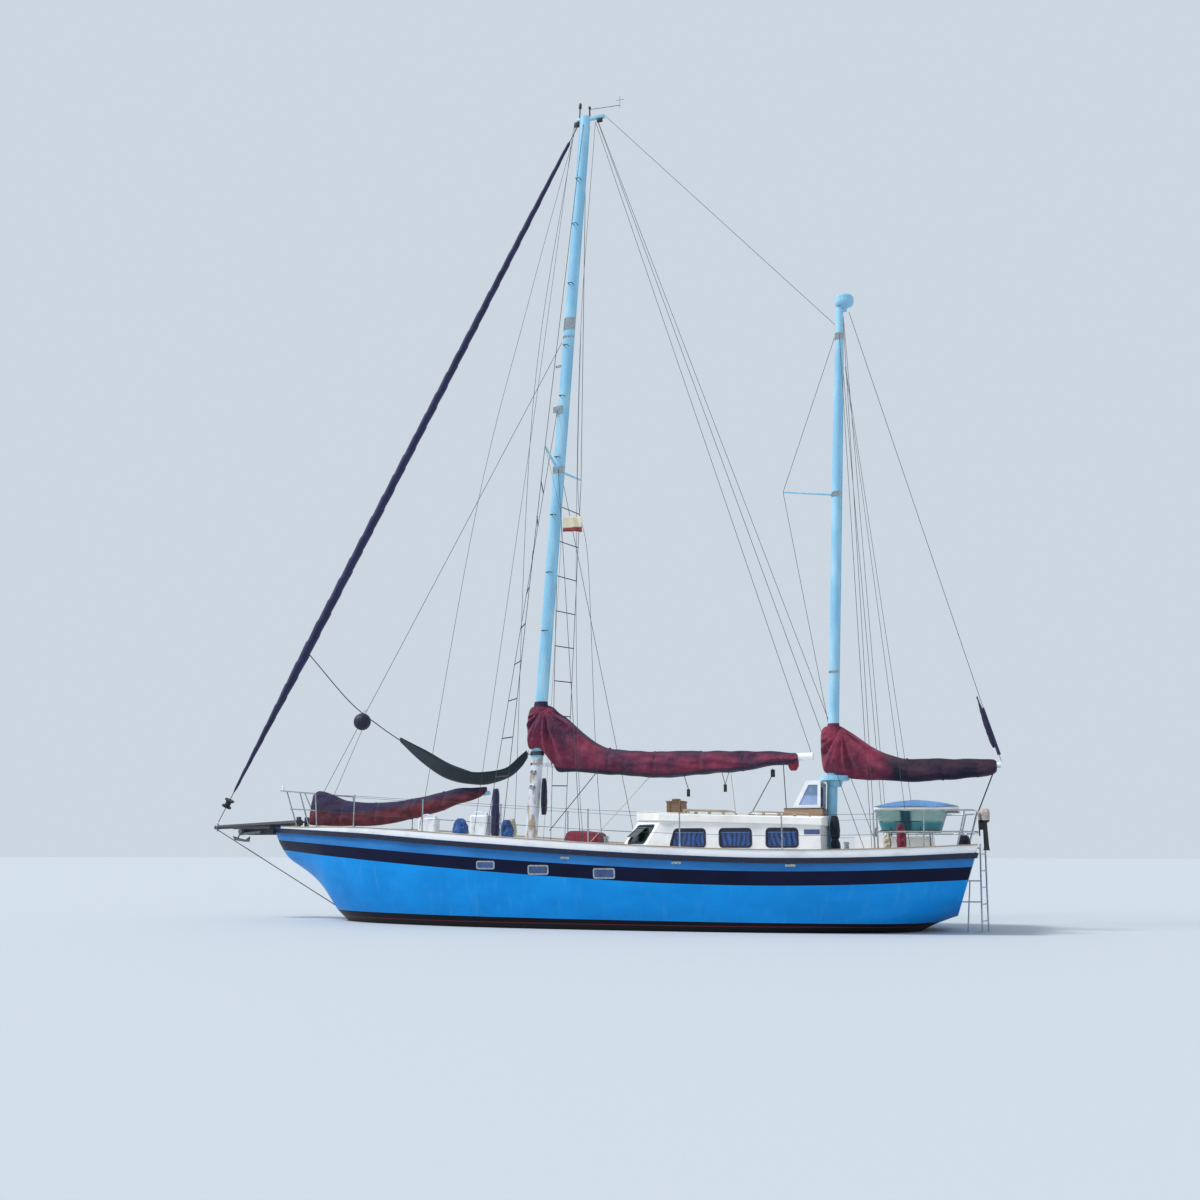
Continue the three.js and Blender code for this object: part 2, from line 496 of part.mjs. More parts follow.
// Cockpit: coaming, pedestal and wheel, and the shelter over them.
const COAMING = { fore: 11960, aft: 13290, half: 550, high: 1600 };
const coamingBlock = box(COAMING.fore, COAMING.aft, -COAMING.half, COAMING.half, 1200, COAMING.high);
const coamingHole = box(WELL.fore, WELL.aft, -WELL.half, WELL.half, 1000, 1800);
add("cockpit_coaming", onDeck(cut(coamingBlock, coamingHole)), WHITE);
const WHEEL = { aft: 12290, up: 1430, radius: 330, rim: 14, spokes: 6, hub: 45 };
const pedestal = join(box(12070, 12200, -90, 90, WELL.floor + SEAT_GAP, 1480),
  rod(place(12195, 0, WHEEL.up), place(WHEEL.aft - 38, 0, WHEEL.up), 22, 10));
add("wheel_pedestal", pedestal, WHITE);
const rim = new THREE.TorusGeometry(WHEEL.radius, WHEEL.rim, 8, 28).rotateY(Math.PI / 2);
const wheelHub = new THREE.CylinderGeometry(WHEEL.hub, WHEEL.hub, 60, 12).rotateZ(Math.PI / 2);
const spokes = Array.from({ length: WHEEL.spokes }, (_, i) =>
  new THREE.CylinderGeometry(9, 9, WHEEL.radius - 20, 6).translate(0, (WHEEL.radius - 20) / 2 + 20, 0)
    .rotateX((i * 2 * Math.PI) / WHEEL.spokes));
add("steering_wheel", join(rim, wheelHub, ...spokes).translate([MIDSHIP - WHEEL.aft, 0, WHEEL.up]), TEAK);

const SHELTER_WALL = 20;
// Shelter sections: height, forward edge, after edge, half width, and how far above it the inside lies.
const SHELTER = [
  [1680, 12440, 13400, 720, -1],
  [2020, 12330, 13550, 850, SHELTER_WALL],
  [2030, 12320, 13750, 860, SHELTER_WALL],
  [2100, 12320, 13750, 860, -SHELTER_WALL],
  [2250, 12500, 13560, 640, -SHELTER_WALL],
];
const shelterRing = ([up, fore, aft, half], inset) => [[fore + inset, half - inset], [aft - inset, half - inset],
  [aft - inset, -half + inset], [fore + inset, -half + inset]].map(([a, port]) => place(a, port, up));
const shelterInner = SHELTER.map(([up, fore, aft, half, rise]) => [up + rise, fore, aft, half]);
add("cockpit_shelter", cut(loft(SHELTER.map((s) => shelterRing(s, 0))),
  loft(shelterInner.map((s) => shelterRing(s, SHELTER_WALL)))), GREY_CLOTH);
const HOOP = { radius: 13, port: 665, at: [12520, 13250], tie: 1760 };
// Half of a hoop: port and height.
const HOOP_LINE = [[HOOP.port, 1250], [HOOP.port, 1990], [610, 2135], [0, 2160]];
const hoopPoints = [...HOOP_LINE, ...HOOP_LINE.toReversed().slice(1).map(([port, up]) => [-port, up])];
const hoops = HOOP.at.map((aft) => bentTube(hoopPoints.map(([port, up]) => place(aft, port, up)), HOOP.radius));
const shelterTies = [1, -1].map((side) => {
  const [fore, aft] = HOOP.at.map((at) => place(at, side * HOOP.port, HOOP.tie));
  return rod(fore, aft, HOOP.radius);
});
add("shelter_frame", onDeck(join(...hoops, ...shelterTies)), STAINLESS);

// Gooseneck pivots and the points at the mastheads that the topping lifts turn about.
const MAIN_PIVOT = place(6085, 0, 3020);
const MAIN_LIFT_HEAD = place(6990, 0, 16980);
const MIZZEN_PIVOT = place(11695, 0, 2790);
const MIZZEN_LIFT_HEAD = place(12225, 0, 11800);
const axisAt = (pivot, head, up) => mastAt(pivot, head, up);
const pinOf = (pivot, head, up) => [axisAt(pivot, head, pivot.z - up), axisAt(pivot, head, pivot.z + up)];

const mainSpar = mast(MAIN_FOOT, MAIN_HEAD, MAIN_SECTIONS);
const mainCrane = box(6570, 7200, -38, 38, 17040, 17115);
const mainTopPost = rod(place(6625, 0, 17100), place(6640, 0, 17500), 15);
const mainGooseneck = join(box(5870, 6095, -30, 30, 2985, 3055),
  rod(...pinOf(MAIN_PIVOT, MAIN_LIFT_HEAD, 70), 20));
add("main_mast", onDeck(join(mainSpar, mainCrane, mainTopPost, mainGooseneck)), SPAR_PAINT);
const mizzenSpar = mast(MIZZEN_FOOT, MIZZEN_HEAD, MIZZEN_SECTIONS);
const mizzenCrane = box(12065, 12195, -30, 30, 11790, 11850);
const mizzenGooseneck = join(box(11610, 11705, -28, 28, 2755, 2825),
  rod(...pinOf(MIZZEN_PIVOT, MIZZEN_LIFT_HEAD, 60), 18));
add("mizzen_mast", onDeck(join(mizzenSpar, mizzenCrane, mizzenGooseneck)), SPAR_PAINT);

const SPREADER = { rootUp: 9080, rootPort: 95, tipAft: 6310, tipPort: 1150, tipUp: 9200 };
for (const [side, name] of [[1, "port"], [-1, "starboard"]]) {
  const root = mainAt(SPREADER.rootUp).setY(side * SPREADER.rootPort);
  add(`spreader_${name}`, rod(root, place(SPREADER.tipAft, side * SPREADER.tipPort, SPREADER.tipUp), 30, 8, 20),
    SPAR_PAINT);
}
add("jumper_strut", rod(mizzenAt(8060).add(new THREE.Vector3(102, 0, 0)), place(10820, 0, 8190), 22, 8, 16),
  SPAR_PAINT);
const UPWARD = new THREE.Vector3(0, 0, 1);
const RADOME = { aft: 12150, low: 11905, high: 12125, radius: 185 };
const radomeProfile = [[0, RADOME.low - 24], [70, RADOME.low - 24], [80, RADOME.low],
  [RADOME.radius - 20, RADOME.low + 15], [RADOME.radius, RADOME.low + 60], [RADOME.radius, RADOME.high - 55],
  [RADOME.radius - 35, RADOME.high - 10], [0, RADOME.high]];
add("radome", turned(radomeProfile, place(RADOME.aft, 0, 0), UPWARD), SPAR_PAINT);
// A round shelf on the mizzen mast over a short cone.
const SHELF = { aft: 11590, low: 2500, under: 2615, high: 2700, radius: 270 };
const shelfProfile = [[0, SHELF.low], [120, SHELF.low], [150, SHELF.under - 20], [SHELF.radius, SHELF.under],
  [SHELF.radius, SHELF.high], [0, SHELF.high]];
add("mizzen_collar", cut(turned(shelfProfile, place(SHELF.aft, 0, 0), UPWARD), mizzenNotch), SPAR_PAINT);

// Booms with their covers, which turn with them, and the cover's collar, which stays round the mast.
// Cover sections: distance aft, bottom, top, half width.
const MAIN_COLLAR = { low: 3310, high: 4190, nose: 5620, half: 165, round: 150 };
const MIZZEN_CLOTH_COLLAR = { low: 2930, high: 3590, nose: 11380, half: 150, round: 130 };
const MAIN_BOOM = { end: 11010, capEnd: 11215, endUp: 3060, radius: 70, cap: 76 };
const MAIN_COVER = [
  [6190, 2885, 4080, 120],
  [6390, 2870, 3970, 130],
  [6720, 2850, 3650, 150],
  [7070, 2825, 3410, 165],
  [7400, 2800, 3290, 170],
  [8000, 2735, 3240, 175],
  [8570, 2720, 3230, 170],
  [9100, 2775, 3220, 160],
  [9900, 2815, 3200, 150],
  [10230, 2875, 3190, 140],
  [10640, 2920, 3165, 120],
  [10950, 2945, 3150, 100],
];
const MIZZEN_BOOM = { end: 14500, endUp: 2840, radius: 52 };
const MIZZEN_COVER = [
  [11765, 2730, 3560, 110],
  [11950, 2720, 3450, 120],
  [12080, 2640, 3330, 125],
  [12430, 2600, 3120, 135],
  [12780, 2580, 3010, 135],
  [13100, 2570, 2985, 130],
  [13640, 2590, 2965, 120],
  [14220, 2640, 2950, 100],
  [14430, 2710, 2935, 80],
];
// A full, soft section, wider below the middle, leaned aft by a share of its height.
const COVER_ROUND = [-0.5, -0.1, 0.3, 0.7, 1.1, 1.5];
function coverRing([aft, low, high, half], shear = 0) {
  const points = [];
  for (const side of [1, -1]) {
    const up = COVER_ROUND.map((a) => {
      const lean = (Math.sin(a) + 0.48) / 1.48;
      return [side * half * Math.cos(a) * (1.05 - 0.35 * lean), low + (high - low) * lean];
    });
    points.push(...(side > 0 ? up : up.toReversed()));
  }
  return points.map(([port, up]) => place(aft + shear * (up - low), port, up));
}
const along = (from, to, by) => from.clone().lerp(to, by / from.distanceTo(to));
const mainBoomEnd = place(MAIN_BOOM.end, 0, MAIN_BOOM.endUp);
const mainCapEnd = place(MAIN_BOOM.capEnd, 0, MAIN_BOOM.endUp + 2);
const mainCapStart = along(mainBoomEnd, MAIN_PIVOT, 30);
add("main_boom", join(rod(along(MAIN_PIVOT, mainBoomEnd, 50), mainBoomEnd, MAIN_BOOM.radius, 12),
  rod(mainCapStart, mainCapEnd, MAIN_BOOM.cap, 12)), WHITE);
// Clearance round a boom in its cover, and round a cover's collar, which stays still as the cover turns past it.
const COVER_GAP = { boom: 2, collar: 8 };
const turnClearance = (pivot, head, from, to, radius) =>
  rod(axisAt(pivot, head, from), axisAt(pivot, head, to), radius + COVER_GAP.collar, 40);
add("mainsail_cover", cut(loft(MAIN_COVER.map((s) => coverRing(s))),
  rod(MAIN_PIVOT, mainBoomEnd, MAIN_BOOM.radius + COVER_GAP.boom, 12),
  turnClearance(MAIN_PIVOT, MAIN_LIFT_HEAD, 2500, 4500, MAIN_COLLAR.round)), MAROON);
const mizzenBoomEnd = place(MIZZEN_BOOM.end, 0, MIZZEN_BOOM.endUp);
add("mizzen_boom", rod(along(MIZZEN_PIVOT, mizzenBoomEnd, 45), mizzenBoomEnd, MIZZEN_BOOM.radius, 12), WHITE);
add("mizzen_cover", cut(loft(MIZZEN_COVER.map((s) => coverRing(s))),
  rod(MIZZEN_PIVOT, mizzenBoomEnd, MIZZEN_BOOM.radius + COVER_GAP.boom, 12),
  turnClearance(MIZZEN_PIVOT, MIZZEN_LIFT_HEAD, 2300, 4000, MIZZEN_CLOTH_COLLAR.round)), MAROON);

// A collar's outline in plan: most of a circle about the hinge and a blunt nose forward of the mast.
const COLLAR_BACK = [-1.9, -1.15, -0.4, 0.4, 1.15, 1.9];
const COLLAR_LEAN = 0.02;
function collarRing(pivot, head, up, nose, half, round) {
  const centre = aftOf(axisAt(pivot, head, up));
  const back = COLLAR_BACK.map((a) => [centre + round * Math.cos(a), round * Math.sin(a)]);
  const front = [[centre - 120, half], [nose + 60, half * 0.85], [nose, half * 0.4], [nose, -half * 0.4],
    [nose + 60, -half * 0.85], [centre - 120, -half]];
  return [...back, ...front].map(([aft, port]) => place(aft, port, up));
}
// Cloth that hangs below the collars: a flap on each side of the main mast, and a wrap round the mizzen's front.
const mainFlaps = [1, -1].map((side) => {
  const ports = [side * 94, side * 150].toSorted((a, b) => a - b);
  return box(5820, 5985, ...ports, 2930, MAIN_COLLAR.low + 10);
});
const wrapOutline = [[11560, 140], [11440, 125], [11385, 60], [11385, -60], [11440, -125], [11560, -140]];
const mizzenWrap = loft([2720, MIZZEN_CLOTH_COLLAR.low + 10].map((up) =>
  wrapOutline.map(([aft, port]) => place(aft, port, up))));
for (const [name, collar, skirt, pivot, liftHead, mastShape] of [
  ["mainsail_collar", MAIN_COLLAR, mainFlaps, MAIN_PIVOT, MAIN_LIFT_HEAD, mainNotch],
  ["mizzen_sail_collar", MIZZEN_CLOTH_COLLAR, [mizzenWrap], MIZZEN_PIVOT, MIZZEN_LIFT_HEAD, mizzenNotch],
]) {
  const rings = [collar.low, collar.high].map((up) =>
    collarRing(pivot, liftHead, up, collar.nose + (up - collar.low) * COLLAR_LEAN, collar.half, collar.round));
  add(name, cut(join(loft(rings), ...skirt), mastShape), MAROON);
}

// Topping lifts: each runs from its boom's end to the point that the boom turns about.
const LIFT = { radius: 5, clear: 25, wrap: 32 };
const mainLiftLow = place(11180, 0, MAIN_BOOM.endUp + MAIN_BOOM.cap + 10);
add("main_topping_lift", rod(mainLiftLow, along(MAIN_LIFT_HEAD, mainLiftLow, LIFT.clear), LIFT.radius, 6), WIRE);
const mizzenLiftLow = place(14515, 0, 2905);
const wrapEnd = mizzenLiftLow.clone().lerp(MIZZEN_LIFT_HEAD, 0.108);
add("mizzen_topping_lift", join(
  rod(mizzenLiftLow, along(MIZZEN_LIFT_HEAD, mizzenLiftLow, LIFT.clear), LIFT.radius, 6),
  rod(mizzenLiftLow.clone().lerp(wrapEnd, 0.12), wrapEnd, LIFT.wrap, 8, 16)), GENOA_BLUE);

// Staysail on its club boom, which turns about the cutter stay.
const CUTTER_FOOT = place(693, 0, 1858);
const CUTTER_HEAD = place(6330, 0, 12050);
const cutterAt = (up) => mastAt(CUTTER_FOOT, CUTTER_HEAD, up);
const STAY_RADIUS = 6;
const CUTTER_END = 11910; // where the stay meets the mast's face
add("cutter_stay", rod(cutterAt(CUTTER_FOOT.z), cutterAt(CUTTER_END), STAY_RADIUS, 6), WIRE);
const CLUB = { foreUp: 1965, foreGap: 85, end: 4800, endUp: 2490, radius: 40, stayClear: 26 };
const clubFore = place(aftOf(cutterAt(CLUB.foreUp)) + CLUB.foreGap, 0, CLUB.foreUp);
const clubEnd = place(CLUB.end, 0, CLUB.endUp);
add("staysail_boom", rod(clubFore, clubEnd, CLUB.radius, 10), SPAR_PAINT);
// Distance aft, bottom, top, half width, lean.
const STAYSAIL_COVER = [
  [790, 1885, 2540, 60, 0.2],
  [900, 1870, 2600, 100, 0.2],
  [1200, 1862, 2540, 120, 0.12],
  [1600, 1858, 2390, 125, 0],
  [2380, 1862, 2340, 125, 0],
  [2850, 1940, 2380, 120, 0],
  [3250, 2010, 2430, 115, 0],
  [3730, 2130, 2530, 105, 0],
  [4150, 2270, 2600, 95, 0],
  [4450, 2360, 2615, 80, 0],
  [4720, 2450, 2615, 60, 0],
];
add("staysail_cover", cut(loft(STAYSAIL_COVER.map(([aft, low, high, half, lean]) =>
  coverRing([aft, low, high, half], lean))), rod(cutterAt(1700), cutterAt(3000), CLUB.stayClear, 10),
  rod(clubFore.clone().lerp(clubEnd, -0.01), clubEnd, CLUB.radius + 2, 10)), MAROON);
const BALL = { aft: 1990, port: 160, up: 3980, radius: 178 };
add("anchor_ball", new THREE.SphereGeometry(BALL.radius, 16, 10).rotateX(Math.PI / 2)
  .translate(MIDSHIP - BALL.aft, BALL.port, BALL.up), BLACK_PLASTIC);

// Hammock slung forward of the main mast. Distance aft, bottom, top, half width.
const HAMMOCK = [
  [2790, 3550, 3640, 30],
  [3300, 3120, 3380, 150],
  [3750, 2830, 3130, 250],
  [4060, 2720, 3000, 290],
  [4380, 2665, 2900, 300],
  [4780, 2660, 2890, 280],
  [5220, 2800, 2960, 200],
  [5470, 3000, 3190, 120],
  [5600, 3170, 3320, 55],
];
function hammockRing([aft, low, high, half]) {
  return Array.from({ length: 10 }, (_, i) => {
    const angle = (2 * Math.PI * i) / 10;
    return place(aft, half * Math.sin(angle), (low + high) / 2 - ((high - low) / 2) * Math.cos(angle));
  });
}
add("hammock", loft(HAMMOCK.map(hammockRing)), GREEN_CLOTH);

// Bow: sprit with its platform, bobstay, furled genoa, pulpit and anchor.
const SPRIT_TIP = place(-1480, 0, 1850);
const SPRIT_HEEL = place(600, 0, 1935);
const sprit = rod(SPRIT_HEEL, SPRIT_TIP, 60, 8, 42);
// Platform either side of the sprit: distance aft and half width.
const PLATFORM = { low: 1808, high: 1862, edge: [[-960, 130], [-700, 190], [-20, 230]] };
const platform = loft(PLATFORM.edge.map(([aft, half]) =>
  [[half, PLATFORM.low], [half, PLATFORM.high], [-half, PLATFORM.high], [-half, PLATFORM.low]]
    .map(([port, up]) => place(aft, port, up))));
const cheeks = [1, -1].map((side) => box(-720, -12, side * 95 - 12, side * 95 + 12, 1690, 1820));
add("bowsprit", onDeck(join(sprit, platform, ...cheeks)), TEAK);
add("bobstay", cut(rod(place(-1400, 0, 1790), place(1640, 0, 190), 10, 6), lifted(hullBody, -3)), WIRE);

const STAY_FOOT = place(-1440, 0, 1905);
const STAY_HEAD = place(6610, 0, 17000);
const stayLine = STAY_HEAD.clone().sub(STAY_FOOT);
// Radius of the roll at a share of the stay's length.
const GENOA_ROLL = [[0.004, 8], [0.045, 8], [0.05, 38], [0.12, 62], [0.2, 98], [0.235, 112], [0.3, 108], [0.5, 98],
  [0.7, 88], [0.85, 70], [0.97, 42], [0.975, 9], [0.994, 9]];
add("furled_genoa", turned([[0, 0.004], ...GENOA_ROLL.map(([s, r]) => [r, s]), [0, 0.994]]
  .map(([r, s]) => [r, s * stayLine.length()]), STAY_FOOT, stayLine, 12), GENOA_BLUE);
const DRUM = { from: 0.0245, to: 0.0345, radius: 105 };
const drumProfile = [[10, DRUM.from], [DRUM.radius, DRUM.from], [DRUM.radius, DRUM.from + 0.0015],
  [60, DRUM.from + 0.003], [60, DRUM.to - 0.003], [DRUM.radius, DRUM.to - 0.0015], [DRUM.radius, DRUM.to],
  [10, DRUM.to], [10, DRUM.from]];
add("furler_drum", turned(drumProfile.map(([r, s]) => [r, s * stayLine.length()]), STAY_FOOT, stayLine, 14),
  BLACK_PLASTIC);

const RAIL_TUBE = 14;
// Pulpit rails: distance aft, out from the centreline, height.
const pulpitTop = [[1350, 790, 2490], [830, 560, 2530], [400, 340, 2570], [170, 170, 2590], [110, 0, 2595]];
const pulpitMid = [[1370, 785, 2150], [980, 625, 2180], [580, 440, 2200]];
// Pulpit legs: distance aft and height of the top, distance aft of the foot.
const PULPIT_LEGS = [[420, 350, 2570, 800], [860, 575, 2528, 1200], [1340, 785, 2492, 1420]];
const mirrored = (half) => [...half.map(([a, p, u]) => place(a, p, u)),
  ...half.toReversed().slice(1).map(([a, p, u]) => place(a, -p, u))];
const pulpitFoot = (aft, side) => place(aft, side * (halfBreadth(aft) - 110), 1750);
const pulpitSides = [1, -1].flatMap((side) => [
  ...PULPIT_LEGS.map(([aft, port, up, footAft]) =>
    rod(place(aft, side * port, up), pulpitFoot(footAft, side), RAIL_TUBE)),
  bentTube(pulpitMid.map(([a, p, u]) => place(a, side * p, u)), RAIL_TUBE - 2),
]);
add("pulpit", onDeck(join(bentTube(mirrored(pulpitTop), RAIL_TUBE), ...pulpitSides)), STAINLESS);
const ANCHOR_PORT = 190;
const anchorShank = loft([[-760, 1700, 22], [-250, 1745, 26]].map(([aft, up, half]) =>
  [[-14, -half], [14, -half], [14, half], [-14, half]].map(([p, u]) => place(aft, ANCHOR_PORT + p, up + u))));
const anchorFluke = loft([[-900, 1660, 8, 8], [-800, 1600, 110, 20], [-560, 1560, 100, 14], [-500, 1640, 20, 10]]
  .map(([aft, up, half, deep]) => [[-half, -deep], [half, -deep], [half, deep], [-half, deep]]
    .map(([p, u]) => place(aft, ANCHOR_PORT + p, up + u))));
const anchorArm = loft([[-800, 1600, 16], [-740, 1710, 16]].map(([aft, up, half]) =>
  [[-14, -half], [14, -half], [14, half], [-14, half]].map(([p, u]) => place(aft, ANCHOR_PORT + p, up + u))));
add("anchor", join(anchorShank, anchorFluke, anchorArm), GALVANISED);

// Standing wires.
const wire = (name, a, b, radius = STAY_RADIUS) => add(name, rod(a, b, radius, 6), WIRE);
const WIRE_FOOT = 7; // a wire ends this far above the deck, clear of its own slanted end
const CHAINPLATE = { aft: 5770, inset: 150 };
const BACKSTAY = { aft: 12230, inset: 150 };
const MIZZEN_CHAIN = { aft: 12330, inset: 110 };
for (const [side, name] of [[1, "port"], [-1, "starboard"]]) {
  const deckPoint = ({ aft, inset }) => {
    const port = halfBreadth(aft) - inset;
    return place(aft, side * port, deckUp(aft, port) + WIRE_FOOT);
  };
  const tip = place(SPREADER.tipAft, side * (SPREADER.tipPort + 14), SPREADER.tipUp);
  const capHead = place(6745, side * 98, 16900);
  add(`cap_shroud_${name}`, bentTube([deckPoint(CHAINPLATE), tip, capHead], STAY_RADIUS, 6), WIRE);
  wire(`backstay_${name}`, deckPoint(BACKSTAY), place(7035, side * 48, 17010), 5);
  wire(`mizzen_shroud_${name}`, deckPoint(MIZZEN_CHAIN), place(12035, side * 84, 11300), 5);
}
wire("triatic_stay", place(7212, 0, 17085), place(11947, 0, 11545), 5);

// Stern: pushpit and boarding ladder.
const pushTop = [[12420, 1600], [13000, 1530], [13600, 1420], [13850, 1330], [13985, 1180], [14030, 900],
  [14060, 450], [14070, 0]];
const pushRail = (up) => bentTube(mirrored(pushTop.map(([a, p]) => [a, p, up])), RAIL_TUBE);
// Pushpit posts: distance aft and out at the rail, distance aft and out at the deck.
const PUSH_POSTS = [[12430, 1600, 12430, 1580], [13200, 1495, 13150, 1455], [13850, 1330, 13650, 1330],
  [14050, 500, 13820, 500]];
const pushPosts = PUSH_POSTS.flatMap(([aft, port, footAft, footPort]) => [1, -1].map((side) =>
  rod(place(aft, side * port, 2022), place(footAft, side * footPort, 1250), RAIL_TUBE)));
add("pushpit", onDeck(join(pushRail(2020), pushRail(1665), ...pushPosts)), STAINLESS);
// Ladder rails: port, distance aft at the top and at the foot.
const LADDER = { high: 1470, low: -260, tube: 14, rung: 11, rungs: [1300, 1020, 740, 460, 180, -100] };
const LADDER_PORT = 420;
const [ladderOuter, ladderInner] = [[LADDER_PORT, 14065, 14000], [80, 14150, 14110]].map(([port, high, low]) =>
  (up) => place(THREE.MathUtils.mapLinear(up, LADDER.high, LADDER.low, high, low), port, up));
const ladderRails = [ladderOuter, ladderInner].map((at) => rod(at(LADDER.high), at(LADDER.low), LADDER.tube));
const rungs = LADDER.rungs.map((up) => rod(ladderOuter(up), ladderInner(up), LADDER.rung, 6));
const ladderLeg = rod(place(13860, LADDER_PORT, 850), place(13770, LADDER_PORT, -60), 12);
// Stand-offs from the outer rail to the bulwark and the transom: height, and a place inside what they meet.
const standOffs = [[1400, 13990], [850, 13780], [500, 13650]].map(([up, aft]) =>
  rod(ladderOuter(up), place(aft, LADDER_PORT, up), LADDER.rung, 6));
const STAND_OFF_DROP = -2; // the transom rakes, so lowering it gives the stand-offs their seat gap
add("stern_ladder", cut(join(...ladderRails, ...rungs, ladderLeg, ...standOffs),
  lifted(hullBody, STAND_OFF_DROP), lifted(sternStrake, STAND_OFF_DROP)), STAINLESS);

// A small outboard motor stowed on a pad at the pushpit's after run.
const OUTBOARD_PORT = 900;
// Sections of its cowl and its leg: height, forward edge, after edge, half width.
const COWL = [[1820, 14100, 14215, 70], [1850, 14082, 14240, 88], [1990, 14080, 14250, 90],
  [2040, 14100, 14235, 72], [2060, 14130, 14205, 40]];
const OUTBOARD_LEG = [[1360, 14105, 14215, 20], [1420, 14120, 14205, 26], [1830, 14125, 14195, 34]];
const CORNER = 0.25; // share of a section's width that its corners take
const outboardRing = ([up, fore, aft, half]) => {
  const [end, side] = [(aft - fore) * CORNER, half * (1 - 2 * CORNER)];
  return [[fore + end, half], [aft - end, half], [aft, side], [aft, -side], [aft - end, -half],
    [fore + end, -half], [fore, -side], [fore, side]].map(([a, port]) => place(a, OUTBOARD_PORT + port, up));
};
const outboardPad = box(14053, 14076, OUTBOARD_PORT - 100, OUTBOARD_PORT + 100, 1600, 2000);
const outboardClamp = box(14070, 14140, OUTBOARD_PORT - 30, OUTBOARD_PORT + 30, 1700, 1960);
add("stowed_outboard", join(loft(COWL.map(outboardRing)), loft(OUTBOARD_LEG.map(outboardRing)), outboardPad,
  outboardClamp), BLACK_PLASTIC);

// Deck gear.
const SKYLIGHT = { fore: 6490, aft: 7150, half: 350, high: 1725 };
add("skylight_cover", onDeck(loft([[1300, 0], [SKYLIGHT.high - 60, 0], [SKYLIGHT.high, 50]].map(([up, inset]) =>
  [[SKYLIGHT.fore + inset, SKYLIGHT.half - inset], [SKYLIGHT.aft - inset, SKYLIGHT.half - inset],
    [SKYLIGHT.aft - inset, -SKYLIGHT.half + inset], [SKYLIGHT.fore + inset, -SKYLIGHT.half + inset]]
    .map(([aft, port]) => place(aft, port, up))))), MAROON);

export default yacht;
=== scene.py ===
import math

import bpy
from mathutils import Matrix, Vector, noise


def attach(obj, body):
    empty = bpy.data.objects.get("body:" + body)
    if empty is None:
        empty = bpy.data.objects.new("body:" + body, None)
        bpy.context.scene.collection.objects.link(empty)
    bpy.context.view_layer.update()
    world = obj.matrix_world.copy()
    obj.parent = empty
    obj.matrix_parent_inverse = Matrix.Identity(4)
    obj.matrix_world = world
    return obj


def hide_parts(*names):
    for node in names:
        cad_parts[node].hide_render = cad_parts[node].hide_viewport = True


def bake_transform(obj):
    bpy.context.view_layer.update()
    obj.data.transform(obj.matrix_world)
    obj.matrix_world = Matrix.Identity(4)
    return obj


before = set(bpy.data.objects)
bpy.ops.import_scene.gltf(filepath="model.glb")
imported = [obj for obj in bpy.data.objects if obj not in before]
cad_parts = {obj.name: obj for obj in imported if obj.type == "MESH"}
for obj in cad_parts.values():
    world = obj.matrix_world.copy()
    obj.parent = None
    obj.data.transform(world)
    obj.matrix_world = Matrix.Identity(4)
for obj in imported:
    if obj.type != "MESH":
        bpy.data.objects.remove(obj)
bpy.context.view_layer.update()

bpy.ops.object.select_all(action="DESELECT")

# Hull. A moulded, painted shell with a raked stem and a curved, sloping transom. It is drawn from the
# same lines as the solid, but finer, so that the sides are fair. "aft" is measured from the stem head,
# "port" from the centreline and "up" from the waterline, in metres.


# The part's origin lies this far aft of the stem head, and she is this long on deck.
STEM, LENGTH = 7, 14


def at(aft, port, up):
    """A point from its distance aft, to port and up."""
    return Vector((STEM - aft, port, up))


# Distance aft, half breadth, sheer, bottom, fullness of the sides, turn of the bilge.
LINES = [
    (0, 0.045, 1.83, 1.74, 1.3, 1.0), (0.13, 0.15, 1.824, 1.49, 1.3, 1.0),
    (0.35, 0.3, 1.814, 1.22, 1.3, 1.0), (0.63, 0.475, 1.801, 1.05, 1.3, 1.0),
    (0.94, 0.655, 1.786, 0.865, 1.3, 1.0), (1.22, 0.805, 1.772, 0.645, 1.3, 1.0),
    (1.46, 0.925, 1.76, 0.385, 1.28, 1.0), (1.7, 1.035, 1.747, 0.09, 1.24, 1.0),
    (2.3, 1.26, 1.714, -0.29, 1.12, 1.02), (3, 1.48, 1.672, -0.47, 0.98, 1.08),
    (4.5, 1.8, 1.558, -0.66, 0.8, 1.16), (6, 1.96, 1.456, -0.75, 0.73, 1.2),
    (7.5, 2.02, 1.362, -0.78, 0.71, 1.2), (9, 2.01, 1.288, -0.75, 0.71, 1.2),
    (10.5, 1.92, 1.242, -0.64, 0.74, 1.18), (12, 1.76, 1.248, -0.38, 0.8, 1.12),
    (13, 1.6, 1.28, -0.09, 0.84, 1.06), (14, 1.4, 1.325, 0.25, 0.86, 1.0),
]


def fair(rows, aft, column=1):
    """A column of a table as one fair curve along its first column."""
    last = len(rows) - 1
    row = next((i for i in range(last) if rows[i + 1][0] > aft), last - 1)

    def slope(i):
        a, b = rows[max(i - 1, 0)], rows[min(i + 1, last)]
        return (b[column] - a[column]) / (b[0] - a[0])

    span = rows[row + 1][0] - rows[row][0]
    u = min(max((aft - rows[row][0]) / span, 0), 1)
    near, far = rows[row][column], rows[row + 1][column]
    ease = u * u * (3 - 2 * u)
    bend = span * (slope(row) * (u**3 - 2 * u * u + u) + slope(row + 1) * (u**3 - u * u))
    return near * (1 - ease) + far * ease + bend


def half_breadth(aft):
    return fair(LINES, aft, 1)


def sheer(aft):
    return fair(LINES, aft, 2)


